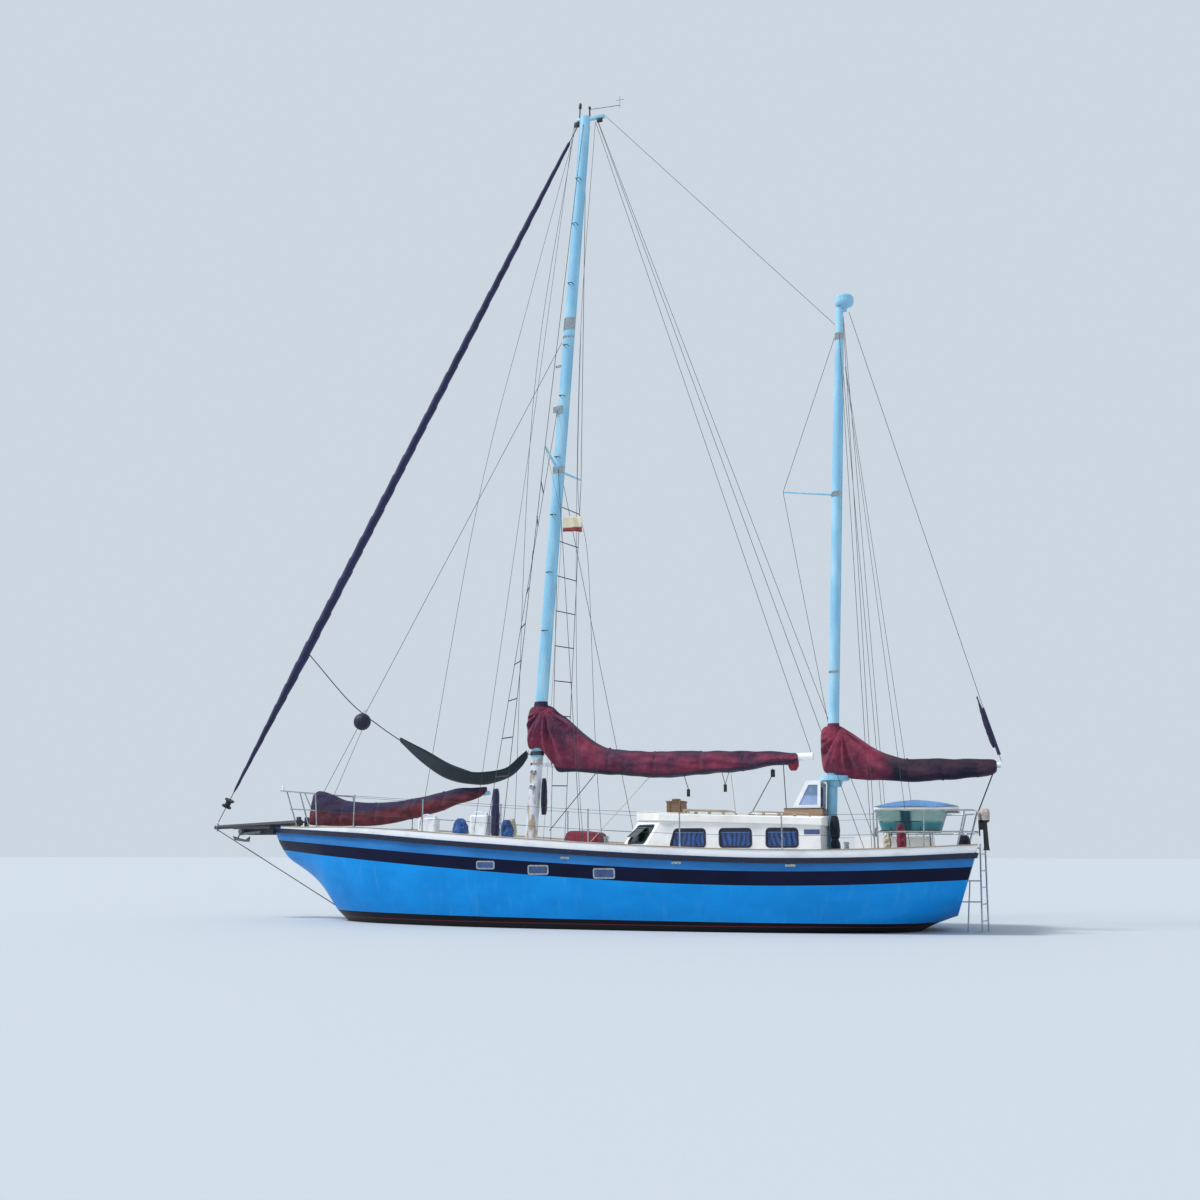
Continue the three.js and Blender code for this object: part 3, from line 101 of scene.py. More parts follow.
# Where the stern starts to lean, over what length, its lean a metre down, and its roundness across.
STERN_FROM, STERN_RUN, STERN_LEAN, STERN_ROUND = 12.4, 1.6, 0.35, 0.015


def on_hull(aft, port, up):
    """A point leaned and rounded as the transom is towards the stern."""
    s = min(max((aft - STERN_FROM) / STERN_RUN, 0), 1)
    stern = s * s * (3 - 2 * s)
    lean = STERN_LEAN * stern * (sheer(aft) - up)
    curve = STERN_ROUND * stern * (port / half_breadth(aft)) ** 2
    return at(aft - lean - curve, port, up)


# The deck's edge inside the hull's side and over the sheer, and its camber at its widest half breadth.
DECK_INSET, DECK_RISE, CAMBER, CAMBER_HALF = 0.07, 0.03, 0.075, 1.95


def deck_up(aft, port=0.0):
    """The height of the cambered deck."""
    half = half_breadth(aft) - DECK_INSET
    return sheer(aft) + DECK_RISE + CAMBER * (half / CAMBER_HALF) ** 2 * (1 - (port / half) ** 2)


def named(piece, name):
    piece.name = piece.data.name = name
    return piece


def skin(name, rings, closed=True, capped=True, sharp=40):
    """A grid laid over rings of equally many points, joined round and closed at its ends."""
    around = len(rings[0])
    columns = around + 1 if closed else around
    bpy.ops.mesh.primitive_grid_add(x_subdivisions=columns - 1, y_subdivisions=len(rings) - 1, size=1)
    made = named(bpy.context.object, name)
    for i, vertex in enumerate(made.data.vertices):
        vertex.co = rings[i // columns][(i % columns) % around]
    bpy.ops.object.mode_set(mode="EDIT")
    bpy.ops.mesh.select_all(action="SELECT")
    bpy.ops.mesh.remove_doubles(threshold=1e-5)
    if capped:
        bpy.ops.mesh.fill_holes(sides=0)
    bpy.ops.mesh.select_all(action="SELECT")
    bpy.ops.mesh.normals_make_consistent(inside=False)
    bpy.ops.object.mode_set(mode="OBJECT")
    bpy.ops.object.shade_smooth_by_angle(angle=math.radians(sharp))
    return made


def pick(*pieces):
    """Selects these pieces alone, the first one active."""
    bpy.ops.object.select_all(action="DESELECT")
    for piece in pieces:
        piece.select_set(True)
    bpy.context.view_layer.objects.active = pieces[0]


def join(*pieces):
    """Several meshes as one piece."""
    pick(*pieces)
    bpy.ops.object.join()
    return bpy.context.object


def weld(piece, sharp):
    """Closes the seams between a joined piece's shells and smooths it up to an angle."""
    pick(piece)
    bpy.ops.object.mode_set(mode="EDIT")
    bpy.ops.mesh.select_all(action="SELECT")
    bpy.ops.mesh.remove_doubles(threshold=2e-4)
    bpy.ops.mesh.fill_holes(sides=0)
    bpy.ops.mesh.select_all(action="SELECT")
    bpy.ops.mesh.normals_make_consistent(inside=False)
    bpy.ops.object.mode_set(mode="OBJECT")
    bpy.ops.object.shade_smooth_by_angle(angle=math.radians(sharp))
    return piece


def linear(text):
    """An sRGB hex colour as the linear one that a shader takes."""
    values = [int(text[i : i + 2], 16) / 255 for i in (1, 3, 5)]
    return (*[v / 12.92 if v <= 0.04045 else ((v + 0.055) / 1.055) ** 2.4 for v in values], 1.0)


def add_node(tree, kind, inputs=None, **settings):
    """A shader node with its settings, and its inputs set to values or joined to sockets."""
    made = tree.nodes.new("ShaderNode" + kind)
    for name, value in settings.items():
        setattr(made, name, value)
    for name, value in (inputs or {}).items():
        if isinstance(value, bpy.types.NodeSocket):
            tree.links.new(value, made.inputs[name])
        else:
            made.inputs[name].default_value = value
    return made


def surface(name, roughness=0.5, metallic=0.0, **sockets):
    """A new material: its tree, its shader and the object's own coordinates."""
    made = bpy.data.materials.new(name)
    made.use_nodes = True
    tree = made.node_tree
    shader = tree.nodes["Principled BSDF"]
    shader.inputs["Roughness"].default_value = roughness
    shader.inputs["Metallic"].default_value = metallic
    for socket, value in sockets.items():
        shader.inputs[socket.replace("_", " ")].default_value = value
    place = add_node(tree, "TexCoord").outputs["Object"]
    return made, tree, shader, place


def speckle(tree, place, scale, low, high, detail=4.0, stretch=(1, 1, 1)):
    """Noise from 0 to 1 between two levels, at a scale in patches a metre."""
    moved = add_node(tree, "Mapping", {"Vector": place, "Scale": stretch}).outputs["Vector"]
    cloud = add_node(tree, "TexNoise", {"Vector": moved, "Scale": scale, "Detail": detail})
    bounds = {"Value": cloud.outputs["Fac"], "From Min": low, "From Max": high}
    return add_node(tree, "MapRange", bounds).outputs["Result"]


def blend_colour(tree, amount, near, far):
    """One colour over another by an amount. A colour is hex text or a socket."""
    colours = [linear(c) if isinstance(c, str) else c for c in (near, far)]
    return add_node(
        tree, "MixRGB", {"Fac": amount, "Color1": colours[0], "Color2": colours[1]}
    ).outputs["Color"]


def tint(tree, shader, amount, near, far):
    """The shader's own colour, as one over another by an amount."""
    tree.links.new(blend_colour(tree, amount, near, far), shader.inputs["Base Color"])


def bump(tree, shader, height, distance, strength=1.0):
    """A relief of a real depth in metres, too fine for the mesh."""
    made = add_node(tree, "Bump", {"Height": height, "Distance": distance, "Strength": strength})
    tree.links.new(made.outputs["Normal"], shader.inputs["Normal"])


def dress(piece, material, body="yacht"):
    """A finished piece's material and the body that it rides on."""
    piece.data.materials.clear()
    piece.data.materials.append(material)
    if body:
        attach(piece, body)
    return piece


def repaint(material, *nodes):
    """A better material for solids that stay."""
    for node in nodes:
        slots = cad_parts[node].material_slots
        for i in range(len(slots)):
            slots[i].material = material


SIDE_POINTS = 26


def hull_side(aft):
    """The bottom of a section, and its side from there to the sheer as (half breadth, up) points."""
    bottom = fair(LINES, aft, 3)
    fullness, turn = fair(LINES, aft, 4), fair(LINES, aft, 5)
    side = []
    for i in range(1, SIDE_POINTS + 1):
        angle = i / SIDE_POINTS * math.pi / 2
        up = bottom + (sheer(aft) - bottom) * (1 - math.cos(angle)) ** turn
        side.append((half_breadth(aft) * math.sin(angle) ** fullness, up))
    return bottom, side


def hull_ring(aft):
    """A whole section, from the bottom up the port side, across under the deck and down again."""
    bottom, side = hull_side(aft)
    port = [on_hull(aft, y, z) for y, z in side]
    across = [on_hull(aft, f * half_breadth(aft), sheer(aft)) for f in (0.5, 0, -0.5)]
    starboard = [on_hull(aft, -y, z) for y, z in reversed(side)]
    return [on_hull(aft, 0, bottom), *port, *across, *starboard]


# Sections stand closer together at the bow, where the lines bend most.
bow_stations = [0, 0.06, *[round(0.13 + 0.11 * i, 3) for i in range(20)]]
stations = [*bow_stations, *[2.4 + 0.25 * i for i in range(47)], LENGTH]
hull = skin("hull_shell", [hull_ring(aft) for aft in stations], capped=False)
bottom, side = hull_side(LENGTH)
transom_rows = [[on_hull(LENGTH, 0, bottom)] * 5]
transom_rows += [[on_hull(LENGTH, f * y, z) for f in (1, 0.5, 0, -0.5, -1)] for y, z in side]
hull = weld(join(hull, skin("transom", transom_rows, closed=False, capped=False)), 30)
# The cockpit well, cut through the shell: its middle and its size.
WELL_MIDDLE, WELL_SIZE = at(12.625, 0, 1.2), (1.15, 0.9, 1.5)
bpy.ops.mesh.primitive_cube_add(size=1, location=WELL_MIDDLE)
well = bpy.context.object
well.scale = WELL_SIZE
pick(hull)
cutter = hull.modifiers.new("well", "BOOLEAN")
cutter.object = well
cutter.solver = "EXACT"
bpy.ops.object.modifier_apply(modifier="well")
bpy.data.objects.remove(well)
named(hull, "hull_shell")

# Gloss azure paint with a navy stripe that follows the sheer, a black boot top and a thin red line under
# it. Low specular keeps the dark stripe dark, and faint streaks and patches show that she has been afloat a
# while.
hull_paint, tree, shader, place = surface("Azure hull enamel", 0.38, Specular_IOR_Level=0.15)


def height_line(tree, place, points, tall=2.0):
    """A height that follows the hull: (aft, up) points, lower than tall, as a curve along it."""
    fore = add_node(tree, "SeparateXYZ", {"Vector": place}).outputs["X"]
    reach = {"Value": fore, "From Min": float(STEM - LENGTH), "From Max": float(STEM)}
    along = add_node(tree, "MapRange", reach).outputs["Result"]
    curve = add_node(tree, "FloatCurve", {"Value": along})
    line = curve.mapping.curves[0]
    rows = sorted((1 - aft / LENGTH, up / tall) for aft, up in points)
    line.points[0].location = rows[0]
    line.points[1].location = rows[-1]
    for x, y in rows[1:-1]:
        line.points.new(x, y)
    curve.mapping.update()
    return add_node(
        tree, "Math", {0: curve.outputs["Value"], 1: tall}, operation="MULTIPLY"
    ).outputs["Value"]


def above(tree, place, line, soft=0.002):
    """1 above a line and 0 below it, with a crisp painted edge, or a soft one."""
    up = add_node(tree, "SeparateXYZ", {"Vector": place}).outputs["Z"]
    gap = add_node(tree, "Math", {0: up, 1: line}, operation="SUBTRACT").outputs["Value"]
    return add_node(tree, "MapRange", {"Value": gap, "From Min": -soft, "From Max": soft}).outputs["Result"]


stripe_top = height_line(
    tree, place,
    [
        (0, 1.585), (0.6, 1.555), (2, 1.465), (4.5, 1.29), (7, 1.14), (9.3, 1.04), (11.5, 1.02),
        (13.6, 1.08), (14, 1.1)
    ]
)
stripe_low = height_line(
    tree, place,
    [
        (0, 1.40), (0.6, 1.355), (2, 1.25), (4.5, 1.065), (7, 0.905), (9.3, 0.80), (11.5, 0.79),
        (13.6, 0.87), (14, 0.89)
    ]
)
boot_top = height_line(tree, place, [(0, 0.22), (2, 0.215), (7, 0.185), (12, 0.16), (14, 0.155)])
patches = speckle(tree, place, 1.4, 0.35, 0.7, 3.0, (1, 1, 2.5))
streaks = speckle(tree, place, 9.0, 0.55, 0.75, 5.0, (1, 1, 0.12))
faint = add_node(tree, "Math", {0: streaks, 1: 0.22}, operation="MULTIPLY").outputs[0]
azure = blend_colour(tree, faint, blend_colour(tree, patches, "#0c95e6", "#0788d6"), "#5aa6d6")
# The duller blue band above the stripe, up to the rail, is painted shade.
upper = blend_colour(tree, patches, "#3481c6", "#2a70b0")
navy = blend_colour(tree, patches, "#050a28", "#0a1034")
outside = blend_colour(tree, above(tree, place, stripe_low), azure, navy)
outside = blend_colour(tree, above(tree, place, stripe_top), outside, upper)
below = blend_colour(tree, above(tree, place, 0.115), "#16181c", "#0b0d14")
red_line = add_node(
    tree, "Math", {0: above(tree, place, 0.094), 1: above(tree, place, 0.108)}, operation="SUBTRACT"
).outputs[0]
below = blend_colour(tree, red_line, below, "#6b2430")
tint(tree, shader, above(tree, place, boot_top), below, outside)
waves = speckle(tree, place, 2.2, 0.2, 0.8, 2.0)
bump(tree, shader, waves, 0.0016, 0.5)
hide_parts("hull", "hull_stern")
dress(hull, hull_paint)

# Portlights in the navy stripe, three a side. Dark toughened glass in thin polished frames, bedded on
# sealant and screwed to the hull from outside. The steel is bright and a little wiped, and the glass shows
# deep blue.
steel, tree, shader, place = surface("Polished stainless steel", 0.22, 1.0)
wiped = speckle(tree, place, 35.0, 0.3, 0.7)
tint(tree, shader, wiped, "#c3c9cc", "#8f979c")
bump(tree, shader, speckle(tree, place, 300.0, 0.3, 0.7, 2.0), 0.0002, 0.4)

dark_glass, tree, shader, place = surface(
    "Dark portlight glass", 0.06, IOR=1.5, Coat_Weight=0.5, Coat_Roughness=0.03
)
behind = speckle(tree, place, 5.0, 0.35, 0.65, 3.0, (1, 1, 0.4))
tint(tree, shader, behind, "#16284f", "#31548c")

# Distance aft of the fore and after edge, height of the lower and upper edge.
PORTLIGHTS = [(5.33, 5.70, 1.03, 1.18), (6.35, 6.75, 0.94, 1.11), (7.58, 7.98, 0.88, 1.06)]


def side_port(aft, up):
    """How far out the hull's side is at a height."""
    side = hull_side(aft)[1]
    for (y0, z0), (y1, z1) in zip(side, side[1:]):
        if z0 <= up <= z1:
            return y0 + (y1 - y0) * (up - z0) / (z1 - z0)
    return half_breadth(aft)


def rounded(width, height, corner, steps=4):
    """A rounded rectangle about its middle, as (across, up) points."""
    points = []
    for quarter, (sx, sy) in enumerate([(1, 1), (-1, 1), (-1, -1), (1, -1)]):
        for k in range(steps + 1):
            angle = math.radians(90 * quarter + 90 * k / steps)
            across = sx * (width / 2 - corner) + corner * math.cos(angle)
            points.append((across, sy * (height / 2 - corner) + corner * math.sin(angle)))
    return points


# How far the pane lies inside the frame's outer edge, and the corners of both.
FRAME_WIDTH, FRAME_CORNER, PANE_CORNER = 0.025, 0.035, 0.022
frames, panes = [], []
for side_sign in (1, -1):
    for fore, aft, low, high in PORTLIGHTS:
        middle_aft, middle_up = (fore + aft) / 2, (low + high) / 2

        def on_side(across, up, out):
            a = middle_aft + across
            return at(a, side_sign * (side_port(a, middle_up + up) + out), middle_up + up)

        outline = rounded(aft - fore, high - low, FRAME_CORNER)
        inner = rounded(aft - fore - 2 * FRAME_WIDTH, high - low - 2 * FRAME_WIDTH, PANE_CORNER)
        section = ((outline, -0.004), (outline, 0.006), (inner, 0.008), (inner, -0.004), (outline, -0.004))
        rings = [[on_side(x, z, out) for x, z in line] for line, out in section]
        frames.append(skin("portlight_frame", rings, capped=False, sharp=30))
        slab = ((1.02, -0.003), (1.02, 0.003), (0.6, 0.003), (0.3, 0.003))
        rings = [[on_side(x * f, z * f, out) for x, z in inner] for f, out in slab]
        panes.append(skin("portlight_pane", rings, sharp=30))
dress(named(join(*frames), "portlight_frames"), steel)
dress(named(join(*panes), "portlight_panes"), dark_glass)

# Mooring fairleads through the topsides under the rail. Small oval plates of cast stainless steel with a
# hollow in the middle, bolted through the planking.
FAIRLEADS = [(7.06, 1.235), (9.07, 1.155), (11.0, 1.115)]
plates = []
for side_sign in (1, -1):
    for aft, up in FAIRLEADS:
        outline = rounded(0.17, 0.052, 0.025)
        rings = []
        for size, out in ((1.0, -0.004), (1.0, 0.008), (0.8, 0.014), (0.62, 0.012), (0.55, 0.002)):
            ring = []
            for x, z in outline:
                a = aft + x * size
                ring.append(at(a, side_sign * (side_port(a, up) + out), up + z * size))
            rings.append(ring)
        plates.append(skin("fairlead", rings, sharp=50))
dress(named(join(*plates), "fairleads"), steel)

# Rubbing rail. A half-round timber, glued and screwed along the sheer, in navy gloss paint that is worn
# paler in places where fenders and quays have rubbed it.
rail_paint, tree, shader, place = surface("Navy rail paint", 0.35)
worn = speckle(tree, place, 6.0, 0.55, 0.8, 6.0, (1, 1, 4))
tint(tree, shader, worn, "#070d2a", "#1d2848")
bump(tree, shader, speckle(tree, place, 40.0, 0.3, 0.7), 0.0006, 0.5)
repaint(rail_paint, "rub_rail")

# Deck. Plywood sheathed in glass cloth and painted an off-white with non-slip grit, so that it is matt,
# with dirty patches and a fine grain.
deck_paint, tree, shader, place = surface("Off white non-slip deck paint", 0.75)
dirt = speckle(tree, place, 3.0, 0.4, 0.75, 6.0)
tint(tree, shader, dirt, "#d9d6ca", "#c4c0b2")
bump(tree, shader, speckle(tree, place, 260.0, 0.3, 0.7, 2.0), 0.0008, 0.7)
repaint(deck_paint, "deck")

# Bulwarks. Planking in white gloss paint on the deck's edge, a little grimy, under a capping of teak whose
# varnish has weathered to a greyish, striped brown. Both are screwed down through the deck.
white_paint, tree, shader, place = surface("White gloss paint", 0.32, Coat_Weight=0.2, Coat_Roughness=0.15)
grime = speckle(tree, place, 2.5, 0.5, 0.85, 6.0, (1, 1, 1.6))
tint(tree, shader, grime, "#f4f4f6", "#cfd2d6")
bump(tree, shader, speckle(tree, place, 30.0, 0.3, 0.7, 3.0), 0.0005, 0.5)
repaint(white_paint, "bulwark_stern")

wood, tree, shader, place = surface("Weathered varnished teak", 0.5)
grain_line = add_node(
    tree, "TexWave", {"Vector": place, "Scale": 14.0, "Distortion": 6.0, "Detail": 3.0},
    bands_direction="Z"
)
tone = speckle(tree, place, 5.0, 0.3, 0.7, 6.0, (0.4, 1, 6))
teak_tone = blend_colour(tree, grain_line.outputs["Fac"], "#9a8468", "#715c45")
tint(tree, shader, tone, teak_tone, "#aca08c")
bump(tree, shader, grain_line.outputs["Fac"], 0.0008, 0.5)


# Distance aft, height of the planking over the sheer.
RISE = [(0, 0.025), (1.2, 0.045), (2.3, 0.09), (4.5, 0.12), (14, 0.12)]
# How far out of the hull's side, how much of the bulwark's height, and how far above that.
PLANKING = [(-0.008, 0, 0.001), (-0.008, 1, 0), (-0.058, 1, 0), (-0.058, 0, 0.001)]
CAPPING = [
    (-0.001, 1, 0.001), (0.002, 1, 0.01), (-0.004, 1, 0.02), (-0.062, 1, 0.02), (-0.068, 1, 0.01),
    (-0.065, 1, 0.001)
]


def along_edge(name, outline, side_sign):
    """A moulding along the deck's edge, of one section from bow to stern."""
    rings = []
    for aft in [*[0.24 + 0.2 * i for i in range(69)], 13.99]:
        ring = []
        for out, share, up in outline:
            height = sheer(aft) + share * fair(RISE, aft) + up
            ring.append(on_hull(aft, side_sign * (half_breadth(aft) + out), height))
        rings.append(ring)
    return skin(name, rings, sharp=35)


for side_name, side_sign in (("port", 1), ("starboard", -1)):
    planks = along_edge("bulwark_planking_" + side_name, PLANKING, side_sign)
    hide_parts("bulwark_" + side_name)
    dress(planks, white_paint)
    dress(along_edge("bulwark_capping_" + side_name, CAPPING, side_sign), wood)

# Stanchions. Thin polished steel posts with a bead at each lifeline, stepped in sockets inside the bulwark
# and held by set screws. UP and PORT are the ways that most turned pieces point.
UP, PORT = Vector((0, 0, 1)), Vector((0, 1, 0))


def turned(name, profile, foot, way, around=24):
    """A turned piece from (distance along, radius) pairs, set at a foot and along a direction."""
    way = Vector(way).normalized()
    side = way.orthogonal().normalized()
    other = way.cross(side)
    turns = [2 * math.pi * k / around for k in range(around)]
    rings = []
    for along, radius in profile:
        rings.append(
            [foot + way * along + radius * (math.cos(a) * side + math.sin(a) * other) for a in turns]
        )
    return skin(name, rings)


def block(name, fore, aft, port0, port1, low, high, edge=0.004, segments=2):
    """A box between its faces with rounded edges."""
    middle = at((fore + aft) / 2, (port0 + port1) / 2, (low + high) / 2)
    bpy.ops.mesh.primitive_cube_add(size=1, location=middle, scale=(aft - fore, port1 - port0, high - low))
    made = named(bpy.context.object, name)
    bpy.ops.object.transform_apply(location=True, rotation=True, scale=True)
    bpy.ops.object.mode_set(mode="EDIT")
    bpy.ops.mesh.select_all(action="SELECT")
    bpy.ops.mesh.bevel(offset=edge, segments=segments, affect="EDGES")
    bpy.ops.object.mode_set(mode="OBJECT")
    bpy.ops.object.shade_smooth_by_angle(angle=math.radians(35))
    return made


def copies(piece, moves):
    """The piece again at each move, each with a mesh of its own, all as one."""
    made = []
    for move in moves:
        pick(piece)
        bpy.ops.object.duplicate()
        made.append(bpy.context.object)
        made[-1].location = move
        bpy.ops.object.transform_apply(location=True, rotation=False, scale=False)
    bpy.data.objects.remove(piece)
    return join(*made)


# Distance aft of each pair, and how far inside the hull's side they stand.
STANCHIONS, STANCHION_INSET = [2.5, 4.15, 5.8, 7.48, 9.13, 10.87, 12.38], 0.033
POST = [
    (0, 0), (0, 0.022), (0.1, 0.022), (0.112, 0.0125), (0.31, 0.0125), (0.314, 0.018), (0.33, 0.018),
    (0.334, 0.0125), (0.65, 0.0125), (0.654, 0.018), (0.672, 0.018), (0.68, 0.008), (0.68, 0)
]
post = turned("stanchion", POST, Vector(), UP, 12)
moves = [
    at(a, s * (half_breadth(a) - STANCHION_INSET), sheer(a) + 0.04) for a in STANCHIONS for s in (1, -1)
]
dress(named(copies(post, moves), "stanchions"), steel)

# Keel, rudder and propeller. The keel and the rudder are in dull black antifouling paint, greenish with
# slime, and the cast bronze screw on its shaft is brown with sea wear.
antifouling, tree, shader, place = surface("Black antifouling paint", 0.85)
slime = speckle(tree, place, 4.0, 0.4, 0.7, 8.0, (1, 1, 3))
tint(tree, shader, slime, "#15181d", "#2c352f")
bump(tree, shader, speckle(tree, place, 60.0, 0.3, 0.7, 5.0), 0.002, 0.7)
repaint(antifouling, "keel", "rudder")
bronze, tree, shader, place = surface("Sea-worn bronze", 0.4, 1.0)
tint(tree, shader, speckle(tree, place, 20.0, 0.4, 0.7), "#a9773f", "#5d6b4c")
bump(tree, shader, speckle(tree, place, 90.0, 0.3, 0.7), 0.0006, 0.6)
repaint(bronze, "propeller")

# Lifelines. Two stranded stainless wires a side, threaded through the stanchions from the pulpit to the
# pushpit and set up taut. The lay of the strands shows as fine slanting bands.
wire, tree, shader, place = surface("Stranded stainless wire", 0.45, 0.8)
lay = add_node(
    tree, "TexWave", {"Vector": place, "Scale": 90.0, "Distortion": 0.0}, bands_direction="DIAGONAL"
).outputs["Fac"]
tint(tree, shader, lay, "#5b6064", "#2f3336")
bump(tree, shader, lay, 0.001, 0.6)


def lines(name, runs, facets=1):
    """Round lines of their own radius through their points, as one mesh."""
    bpy.ops.curve.primitive_bezier_curve_add()
    made = named(bpy.context.object, name)
    made.data.splines.clear()
    made.data.dimensions = "3D"
    made.data.bevel_depth = 1.0
    made.data.bevel_resolution = facets
    made.data.use_fill_caps = True
    for points, radius in runs:
        spline = made.data.splines.new("POLY")
        spline.points.add(len(points) - 1)
        for point, co in zip(spline.points, points):
            point.co = (*co, 1)
            point.radius = radius
    bpy.ops.object.convert(target="MESH")
    bpy.ops.object.shade_smooth_by_angle(angle=math.radians(60))
    return bpy.context.object


def through(points, steps=6):
    """A smooth course through points."""
    points = [Vector(p) for p in points]
    ends = [points[0] * 2 - points[1], *points, points[-1] * 2 - points[-2]]
    course = []
    for a, b, c, d in zip(ends, ends[1:], ends[2:], ends[3:]):
        for k in range(steps):
            u = k / steps
            square, cube = 2 * a - 5 * b + 4 * c - d, 3 * b - a - 3 * c + d
            course.append(0.5 * (2 * b + (c - a) * u + square * u**2 + cube * u**3))
    return [*course, points[-1]]


# Height over the sheer, and the points where the wire starts on the pulpit and ends on the pushpit.
LIFELINES = [
    (0.70, (1.35, 0.79, 2.48), (12.42, 1.6, 2.02)), (0.36, (1.37, 0.785, 2.15), (12.42, 1.6, 1.665))
]
runs = []
for side_sign in (1, -1):
    for rise, fore, aft in LIFELINES:
        course = [at(fore[0], side_sign * fore[1], fore[2])]
        for a in STANCHIONS:
            course.append(at(a, side_sign * (half_breadth(a) - STANCHION_INSET), sheer(a) + rise))
        course.append(at(aft[0], side_sign * aft[1], aft[2]))
        runs.append((course, 0.0035))
dress(lines("lifelines", runs), wire)

# Bowsprit, anchor and main wires. The sprit is a spar of tarred timber bolted on the stem, with a dark
# greyish grain. The anchor is hot-dip galvanised, dull with a spangle, and the stays are the lifelines'
# wire, thicker.
dark_wood, tree, shader, place = surface("Tarred dark timber", 0.6)
grain_line = add_node(
    tree, "TexWave", {"Vector": place, "Scale": 10.0, "Distortion": 5.0}, bands_direction="Z"
).outputs["Fac"]
tint(tree, shader, grain_line, "#2a2a33", "#4a4a52")
bump(tree, shader, grain_line, 0.001, 0.5)
repaint(dark_wood, "bowsprit")

galvanised, tree, shader, place = surface("Galvanised steel", 0.55, 0.85)
spangle = add_node(tree, "TexVoronoi", {"Vector": place, "Scale": 60.0}).outputs["Distance"]
tint(tree, shader, spangle, "#8b9094", "#4c5054")
bump(tree, shader, speckle(tree, place, 120.0, 0.3, 0.7), 0.0006, 0.5)
repaint(galvanised, "anchor")
repaint(wire, "bobstay", "cutter_stay", "cap_shroud_port", "cap_shroud_starboard", "backstay_port",
        "backstay_starboard", "mizzen_shroud_port", "mizzen_shroud_starboard", "triatic_stay")

# Bow gear. Tarred slats across the sprit's platform, a galvanised roller beside it and a band with eyes at
# its tip, a pair of timber bitts bolted to the foredeck, and a small white lamp on the pulpit.
slats = []
for i in range(12):
    fore = -0.9 + 0.075 * i
    wide = 0.125 + 0.1 * min(max((fore + 0.96) / 0.9, 0), 1)
    for side in (1, -1):
        slats.append(block("slat", fore, fore + 0.05, side * 0.06, side * wide, 1.861, 1.876, 0.003))
dress(named(join(*slats), "bowsprit_slats"), dark_wood)
ROLLER = [
    (0, 0), (0, 0.045), (0.008, 0.048), (0.03, 0.03), (0.05, 0.03), (0.072, 0.048), (0.08, 0.045),
    (0.08, 0)
]
roller = turned("roller", ROLLER, at(-0.72, 0.15, 1.76), PORT, 20)
BAND = [(0, 0.042), (0, 0.05), (0.035, 0.05), (0.035, 0.042)]
band = turned("band", BAND, at(-1.4, 0, 1.853), Vector((1, 0, 0)), 24)
EYE_LOOPS = [
    [(0, 1.89), (0.02, 1.915), (0, 1.935), (-0.02, 1.915), (0, 1.89)],
    [(0, 1.81), (0.02, 1.79), (0, 1.77), (-0.02, 1.79), (0, 1.81)],
]
eyes = lines("eyes", [(through([at(-1.42, y, z) for y, z in loop], 4), 0.006) for loop in EYE_LOOPS], 2)
dress(named(join(roller, band, eyes), "bowsprit_ironwork"), galvanised)
bitts = [block("bitt", 0.58, 0.66, y - 0.04, y + 0.04, 1.78, 2.05, 0.012) for y in (0.16, -0.16)]
bitts.append(block("bitt_bar", 0.6, 0.64, -0.27, 0.27, 1.93, 1.97, 0.012))
dress(named(join(*bitts), "foredeck_bitts"), dark_wood)
LAMP = [
    (0, 0), (0, 0.028), (0.012, 0.03), (0.02, 0.024), (0.065, 0.024), (0.072, 0.03), (0.084, 0.022),
    (0.088, 0)
]
pulpit_lamp = turned("pulpit_lamp", LAMP, at(0.11, 0, 2.606), UP, 20)
dress(pulpit_lamp, white_paint)

# Pulpit, pushpit, ladder and the shelter's frame. Bent stainless tube, welded and polished as the
# stanchions are, on feet that are bolted to the deck.
repaint(steel, "pulpit", "pushpit", "stern_ladder", "shelter_frame")

# Furled genoa. Sailcloth rolled tight round the forestay's foil, so that only its strip of navy acrylic
# shows, faded, with the roll's edge winding up it. The drum below it is black moulded plastic, and the ball
# on the inner stay is navy black vinyl, blown up and shackled on.
navy_cloth, tree, shader, place = surface("Navy acrylic sun strip", 0.85, Sheen_Weight=0.25)
fade = speckle(tree, place, 3.0, 0.35, 0.75, 5.0)
weave = add_node(
    tree, "TexWave", {"Vector": place, "Scale": 260.0}, bands_direction="DIAGONAL"
).outputs["Fac"]
tint(tree, shader, fade, "#1b1e45", "#2c2c55")
bump(tree, shader, weave, 0.0006, 0.6)

STAY_FOOT, STAY_HEAD = at(-1.44, 0, 1.905), at(6.61, 0, 17.0)
stay_way = (STAY_HEAD - STAY_FOOT).normalized()
stay_side = stay_way.cross(PORT).normalized()
# Share of the way up the stay, radius of the roll.
ROLL = [
    (0.004, 0.008), (0.045, 0.008), (0.05, 0.03), (0.07, 0.038), (0.12, 0.06), (0.2, 0.096),
    (0.235, 0.108), (0.3, 0.105), (0.5, 0.095), (0.7, 0.085), (0.85, 0.067), (0.97, 0.038), (0.975, 0.009),
    (0.994, 0.009)
]
ROLL_STEPS, ROLL_AROUND, ROLL_TURNS = 420, 28, 34


def roll_radius(share):
    """The furled sail's radius, straight from row to row of its table."""
    for (s0, r0), (s1, r1) in zip(ROLL, ROLL[1:]):
        if share <= s1 + 1e-9:
            return r0 + (r1 - r0) * (share - s0) / (s1 - s0)


